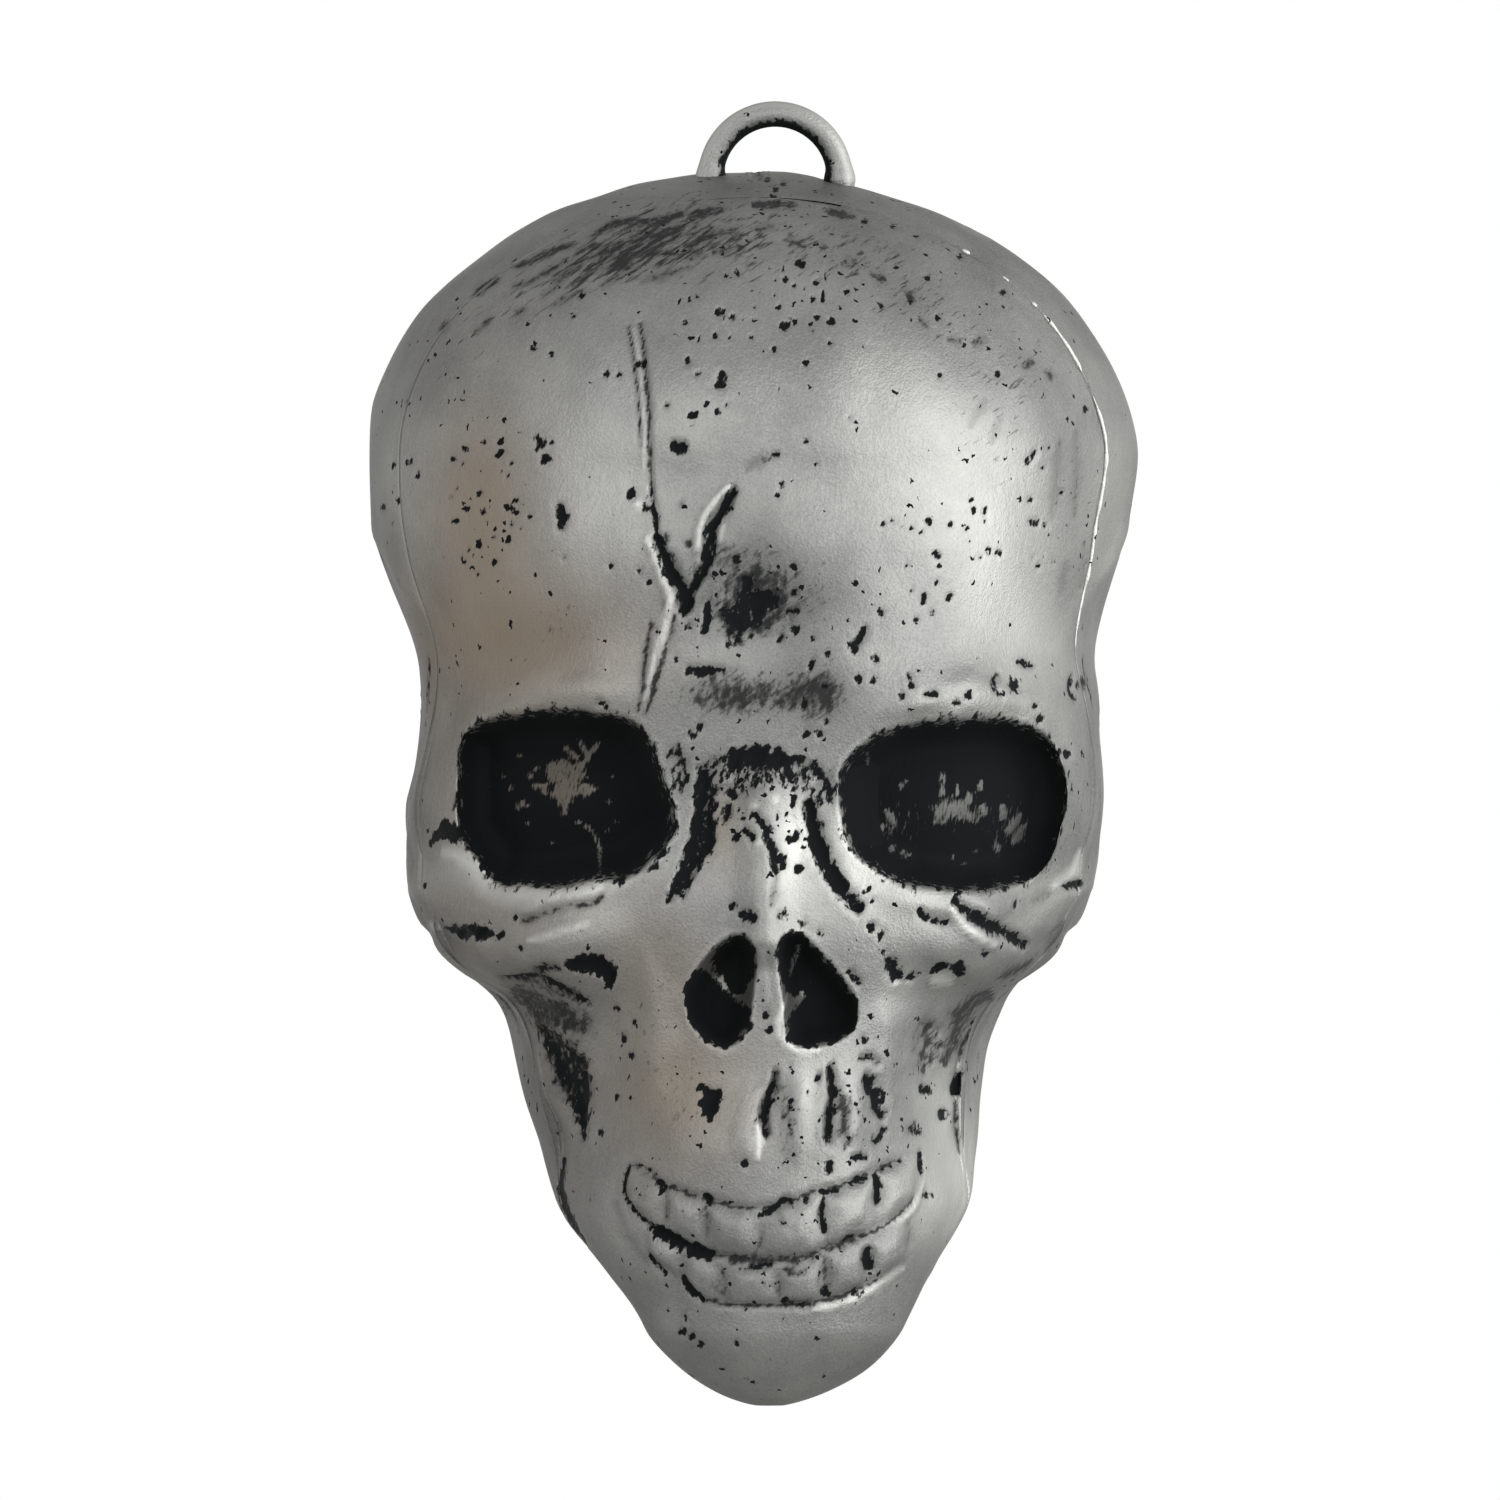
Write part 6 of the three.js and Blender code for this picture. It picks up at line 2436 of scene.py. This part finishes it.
@dataclass(frozen=True)
class SeamFlash:
    """The thin bead of moulding flash that stands out along parts of the parting seam."""

    form: SkullForm
    parting: float = PARTING
    radius: float = 0.38
    proud: float = -0.05
    sides: int = 10
    step: float = 0.4
    seed: int = 7
    spans: Pairs = ((97.0, 129.3), (132.4, 139.8), (140.7, 141.4), (144.0, 144.7), (147.5, 148.1))

    def runs(self, place: Place) -> list[tuple[Array, Array]]:
        """Follows the seam where the bead shows.

        Args:
            place: The skull's place in the part.

        Returns:
            Points in metres and thickness shares of each stretch.
        """
        chance = np.random.default_rng(self.seed)
        found = []
        for low, high in self.spans:
            z = np.linspace(low, high, max(6, int((high - low) / self.step)))
            x, _, _ = self.form.skin(z, self.form.edge_angle(z, self.parting, 0.0), 0.0)
            x = x + self.form.trim(x, z)
            wave = 0.75 + 0.25 * np.sin(z * chance.uniform(1.2, 2.0)) * np.sin(
                z * 0.41 + chance.uniform(0.0, 6.0))
            share = (z - low) / (high - low)
            thick = wave * np.sqrt(np.maximum(1.0 - (2.0 * share - 1.0) ** 6, 0.02))
            points = np.stack([x + self.proud, np.full(len(z), self.parting), z], axis=1)
            found.append((place.metres(points), thick))
        return found

    def build(self, place: Place, material: bpy.types.Material) -> bpy.types.Object:
        """Sweeps the bead along the seam.

        Args:
            place: The skull's place in the part.
            material: The silver paint.

        Returns:
            The object.
        """
        piece = RoundBar(self.radius * MM, self.sides).sweep("seam_flash_bead", self.runs(place), material)
        # The bead is painted bright all over as a highlight.
        store_paints(piece.data, {"speck": 0.1, "polish": 0.95})
        return piece


@dataclass(frozen=True)
class WellScrews:
    """Four pan-head self-tapping screws at the bottom of the rear wells."""

    screws: ScrewPlaces
    gap: float = SHELL_GAP
    head: float = 6.0
    head_height: float = 2.2
    shank: float = 3.0
    core: float = 2.3
    length: float = 12.0
    tip: float = 2.4
    slot: tuple[float, float, float] = (0.9, 3.6, 1.2)
    pitch: float = 1.1
    plain: float = 0.4
    sides: int = 32

    def blank(self) -> bpy.types.Object:
        """Turns one screw and cuts its cross recess, along +z with its seat at 0.

        Returns:
            The object.
        """
        top = self.gap + self.head_height
        half = self.head / 2.0
        outline = [
            (0.02, -self.length), (self.core / 2.0, self.tip - self.length), (self.core / 2.0, self.gap),
            (half - 0.1, self.gap), (half, self.gap + 0.1), (half, self.gap + 0.9), (half - 0.25, top - 0.75),
            (half - 0.8, top - 0.3), (half - 1.6, top - 0.06), (0.6, top)]
        turn = np.linspace(0.0, 2.0 * math.pi, self.sides, endpoint=False)
        rings = [np.stack([r * np.cos(turn), r * np.sin(turn), np.full(self.sides, z)], axis=1) * MM
                 for r, z in outline]
        piece = turned_rod("screw_blank", rings)
        wide, long, deep = self.slot
        box = np.array([(-1, -1), (1, -1), (1, 1), (-1, 1)], float) / 2.0
        arms = []
        for size in ((long, wide), (wide, long)):
            floor = np.column_stack([box * np.array(size) * 0.7, np.full(4, top - deep)])
            mouth = np.column_stack([box * np.array(size) * 1.1, np.full(4, top + 0.5)])
            arms.append(turned_rod("recess_arm", [floor * MM, mouth * MM]))
        carve(piece, Joint.CUT, arms)
        return piece

    def tree(self) -> bpy.types.NodeTree:
        """Builds the node tree that adds the thread and sets a screw at each point.

        Returns:
            The tree.
        """
        tree = node_tool("screws_in_wells", {
            "Places": "Geometry", "Blank": "Object", "Core Radius": "Float", "Thread Turns": "Float",
            "Thread Length": "Float", "Thread Depth": "Float", "Finish": "Material"}, "Screws")
        start = add_node(tree, "NodeGroupInput").outputs
        blank = add_node(tree, "GeometryNodeObjectInfo", {"Object": start["Blank"]}).outputs["Geometry"]
        coil = add_node(tree, "GeometryNodeCurveSpiral", {
            "Resolution": 24, "Rotations": start["Thread Turns"], "Start Radius": start["Core Radius"],
            "End Radius": start["Core Radius"], "Height": start["Thread Length"]})
        ridge = add_node(tree, "GeometryNodeCurvePrimitiveCircle", {
            "Resolution": 4, "Radius": start["Thread Depth"]})
        thread = add_node(tree, "GeometryNodeCurveToMesh", {
            "Curve": coil, "Profile Curve": ridge, "Fill Caps": True})
        drop = add_node(tree, "ShaderNodeMath", {0: start["Thread Length"], 1: -1.0}, operation="MULTIPLY")
        shift = add_node(tree, "ShaderNodeCombineXYZ", {"Z": drop})
        thread = add_node(tree, "GeometryNodeTransform", {"Geometry": thread, "Translation": shift})
        screw = add_node(tree, "GeometryNodeJoinGeometry")
        for part in (blank, thread.outputs[0]):
            tree.links.new(part, screw.inputs[0])
        spread = add_node(tree, "GeometryNodeInstanceOnPoints", {
            # The outline of each tooth is darkened: black left in the gap, with painted shade.
            "Points": start["Places"], "Instance": screw, "Rotation": (-math.pi / 2.0, 0.0, 0.0)})
        real = add_node(tree, "GeometryNodeRealizeInstances", {"Geometry": spread})
        dressed = add_node(tree, "GeometryNodeSetMaterial", {
            "Geometry": real, "Material": start["Finish"]})
        add_node(tree, "NodeGroupOutput", {"Screws": dressed})
        return tree

    def build(self, place: Place, material: bpy.types.Material) -> bpy.types.Object:
        """Sets the screws in their wells.

        Args:
            place: The skull's place in the part.
            material: The plated steel.

        Returns:
            The object.
        """
        points = np.array([(x, self.screws.seat, z) for x, z in self.screws.centres()])
        piece = new_piece("well_screws", place.metres(points), [])
        blank = self.blank()
        run = self.length - self.tip - self.plain
        run_tool(piece, self.tree(), {
            "Blank": blank, "Core Radius": self.core / 2.0 * MM, "Thread Turns": run / self.pitch,
            "Thread Length": run * MM, "Thread Depth": (self.shank - self.core) / 2.0 * MM,
            "Finish": material})
        bpy.data.objects.remove(blank)
        return piece


class Softbox(NamedTuple):
    """A soft light in metres, and how bright its face is, where 1 is the white surround."""

    name: str
    at: tuple[float, float, float]
    wide: float
    tall: float
    radiance: float


@dataclass(frozen=True)
class Studio:
    """The camera, the soft lights, the white surround and the pale floor."""

    distance: float = 4.0
    sensor: float = 36.0
    floor_drop: float = 0.3
    floor_radius: float = 0.9
    floor_sides: int = 96
    surround: float = 0.42
    aim: float = 85.0
    lights: tuple[Softbox, ...] = (
        Softbox("key_softbox", (1.3, -0.8, 0.2), 1.8, 1.8, 2.3),
        Softbox("front_softbox", (-0.3, -1.5, 0.45), 2.2, 1.4, 1.0),
        Softbox("rear_softbox", (1.2, 1.1, 0.4), 1.8, 1.6, 1.0),
    )

    def camera(self, place: Place) -> None:
        """Puts the camera square in front of the face, with the photograph's framing.

        Args:
            place: The skull's place in the part.
        """
        data = bpy.data.cameras.new("front_camera")
        data.sensor_width = self.sensor
        data.lens = self.sensor * self.distance / (PHOTO_SIZE * PHOTO_SCALE * MM)
        camera = bpy.data.objects.new("front_camera", data)
        x, z = px(f"{PHOTO_SIZE / 2.0},{PHOTO_SIZE / 2.0}")[0]
        at = place.metres(np.array([x, 0.0, z]))
        camera.location = (at[0], -self.distance, at[2])
        camera.rotation_euler = (math.pi / 2.0, 0.0, 0.0)
        bpy.context.scene.collection.objects.link(camera)
        bpy.context.scene.camera = camera

    def hang(self, box: Softbox, target: Array) -> None:
        """Hangs a soft light that the camera doesn't see.

        Args:
            box: The light.
            target: The point that it faces.
        """
        data = bpy.data.lights.new(box.name, "AREA")
        data.shape = "RECTANGLE"
        data.size = box.wide
        data.size_y = box.tall
        data.energy = box.radiance * math.pi * box.wide * box.tall
        light = bpy.data.objects.new(box.name, data)
        light.location = box.at
        light.rotation_euler = (Vector(target) - Vector(box.at)).to_track_quat("-Z", "Y").to_euler()
        light.visible_camera = False
        bpy.context.scene.collection.objects.link(light)

    def world(self) -> None:
        """Makes the surround white to the eye and in reflections, and dimmer as a light."""
        world = bpy.data.worlds.new("white_surround")
        world.use_nodes = True
        tree = world.node_tree
        tree.nodes.clear()
        rays = add_node(tree, "ShaderNodeLightPath").outputs
        seen = add_node(tree, "ShaderNodeMath", {0: rays["Is Camera Ray"], 1: rays["Is Glossy Ray"]},
                        operation="MAXIMUM")
        seen = add_node(tree, "ShaderNodeMath", {0: seen, 1: rays["Is Transmission Ray"]},
                        operation="MAXIMUM")
        strength = add_node(
            tree, "ShaderNodeMapRange", {"Value": seen, "To Min": self.surround, "To Max": 1.0})
        sky = add_node(tree, "ShaderNodeBackground", {
            "Color": (1.0, 1.0, 1.0, 1.0), "Strength": strength})
        add_node(tree, "ShaderNodeOutputWorld", {"Surface": sky})
        bpy.context.scene.world = world

    def floor(self, place: Place) -> None:
        """Lays a round pale floor below the hanging skull.

        Args:
            place: The skull's place in the part.
        """
        turn = np.linspace(0.0, 2.0 * math.pi, self.floor_sides, endpoint=False)
        ring = np.stack([np.cos(turn), np.sin(turn), np.zeros_like(turn)], axis=1) * self.floor_radius
        piece = new_piece("studio_floor", ring, [tuple(range(self.floor_sides))])
        piece.location = (place.origin[0], place.origin[1], place.origin[2] - self.floor_drop)
        piece.data.materials.append(PaleFloor(radius=self.floor_radius).make())

    def build(self, place: Place) -> None:
        """Sets up the whole studio.

        Args:
            place: The skull's place in the part.
        """
        bpy.context.scene.view_settings.view_transform = "Standard"
        self.camera(place)
        self.world()
        for box in self.lights:
            self.hang(box, place.metres(np.array([0.0, 0.0, self.aim])))
        self.floor(place)


def main() -> None:
    """Builds and dresses the pieces in order."""
    logging.basicConfig(level=logging.INFO, format="%(name)s %(message)s")
    form = SkullForm()
    relief = FaceRelief(form)
    work = PaintWork(relief)
    place = Place.from_frame(PARTING - SHELL_GAP / 2.0)
    screws = ScrewPlaces(form)
    loop = HangingLoop(form)
    silver = AntiqueSilver().make()
    steel = ZincPlatedSteel().make()
    plastic = BlackPlastic().make()
    Studio().build(place)
    face_grid = ShellGrid(form, relief, Side.FACE, PARTING, rows=335, columns=241, crowding=0.2)
    face = Shell(face_grid, work, place, "face_moulding")
    finish_piece(face.build(), silver, "antique_silver", "face_shell")
    back_grid = ShellGrid(form, relief, Side.BACK, PARTING, rows=230, columns=291, crowding=0.0)
    back = BackShell(Shell(back_grid, work, place, "back_moulding"), screws, loop)
    finish_piece(back.build(), silver, "antique_silver", "back_shell")
    finish_piece(loop.build(place, silver), silver, "antique_silver", "hanging_loop")
    finish_piece(SeamFlash(form).build(place, silver), silver, "antique_silver")
    finish_piece(
        WellScrews(screws).build(place, steel), steel, "zinc_plated_steel", "screw_upper_left",
        "screw_upper_right", "screw_lower_left", "screw_lower_right")
    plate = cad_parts["loop_plate"]
    plate.data.materials.clear()
    plate.data.materials.append(plastic)
    LOG.info("loop_plate: kept from the packed part")


if __name__ == "__main__":
    main()
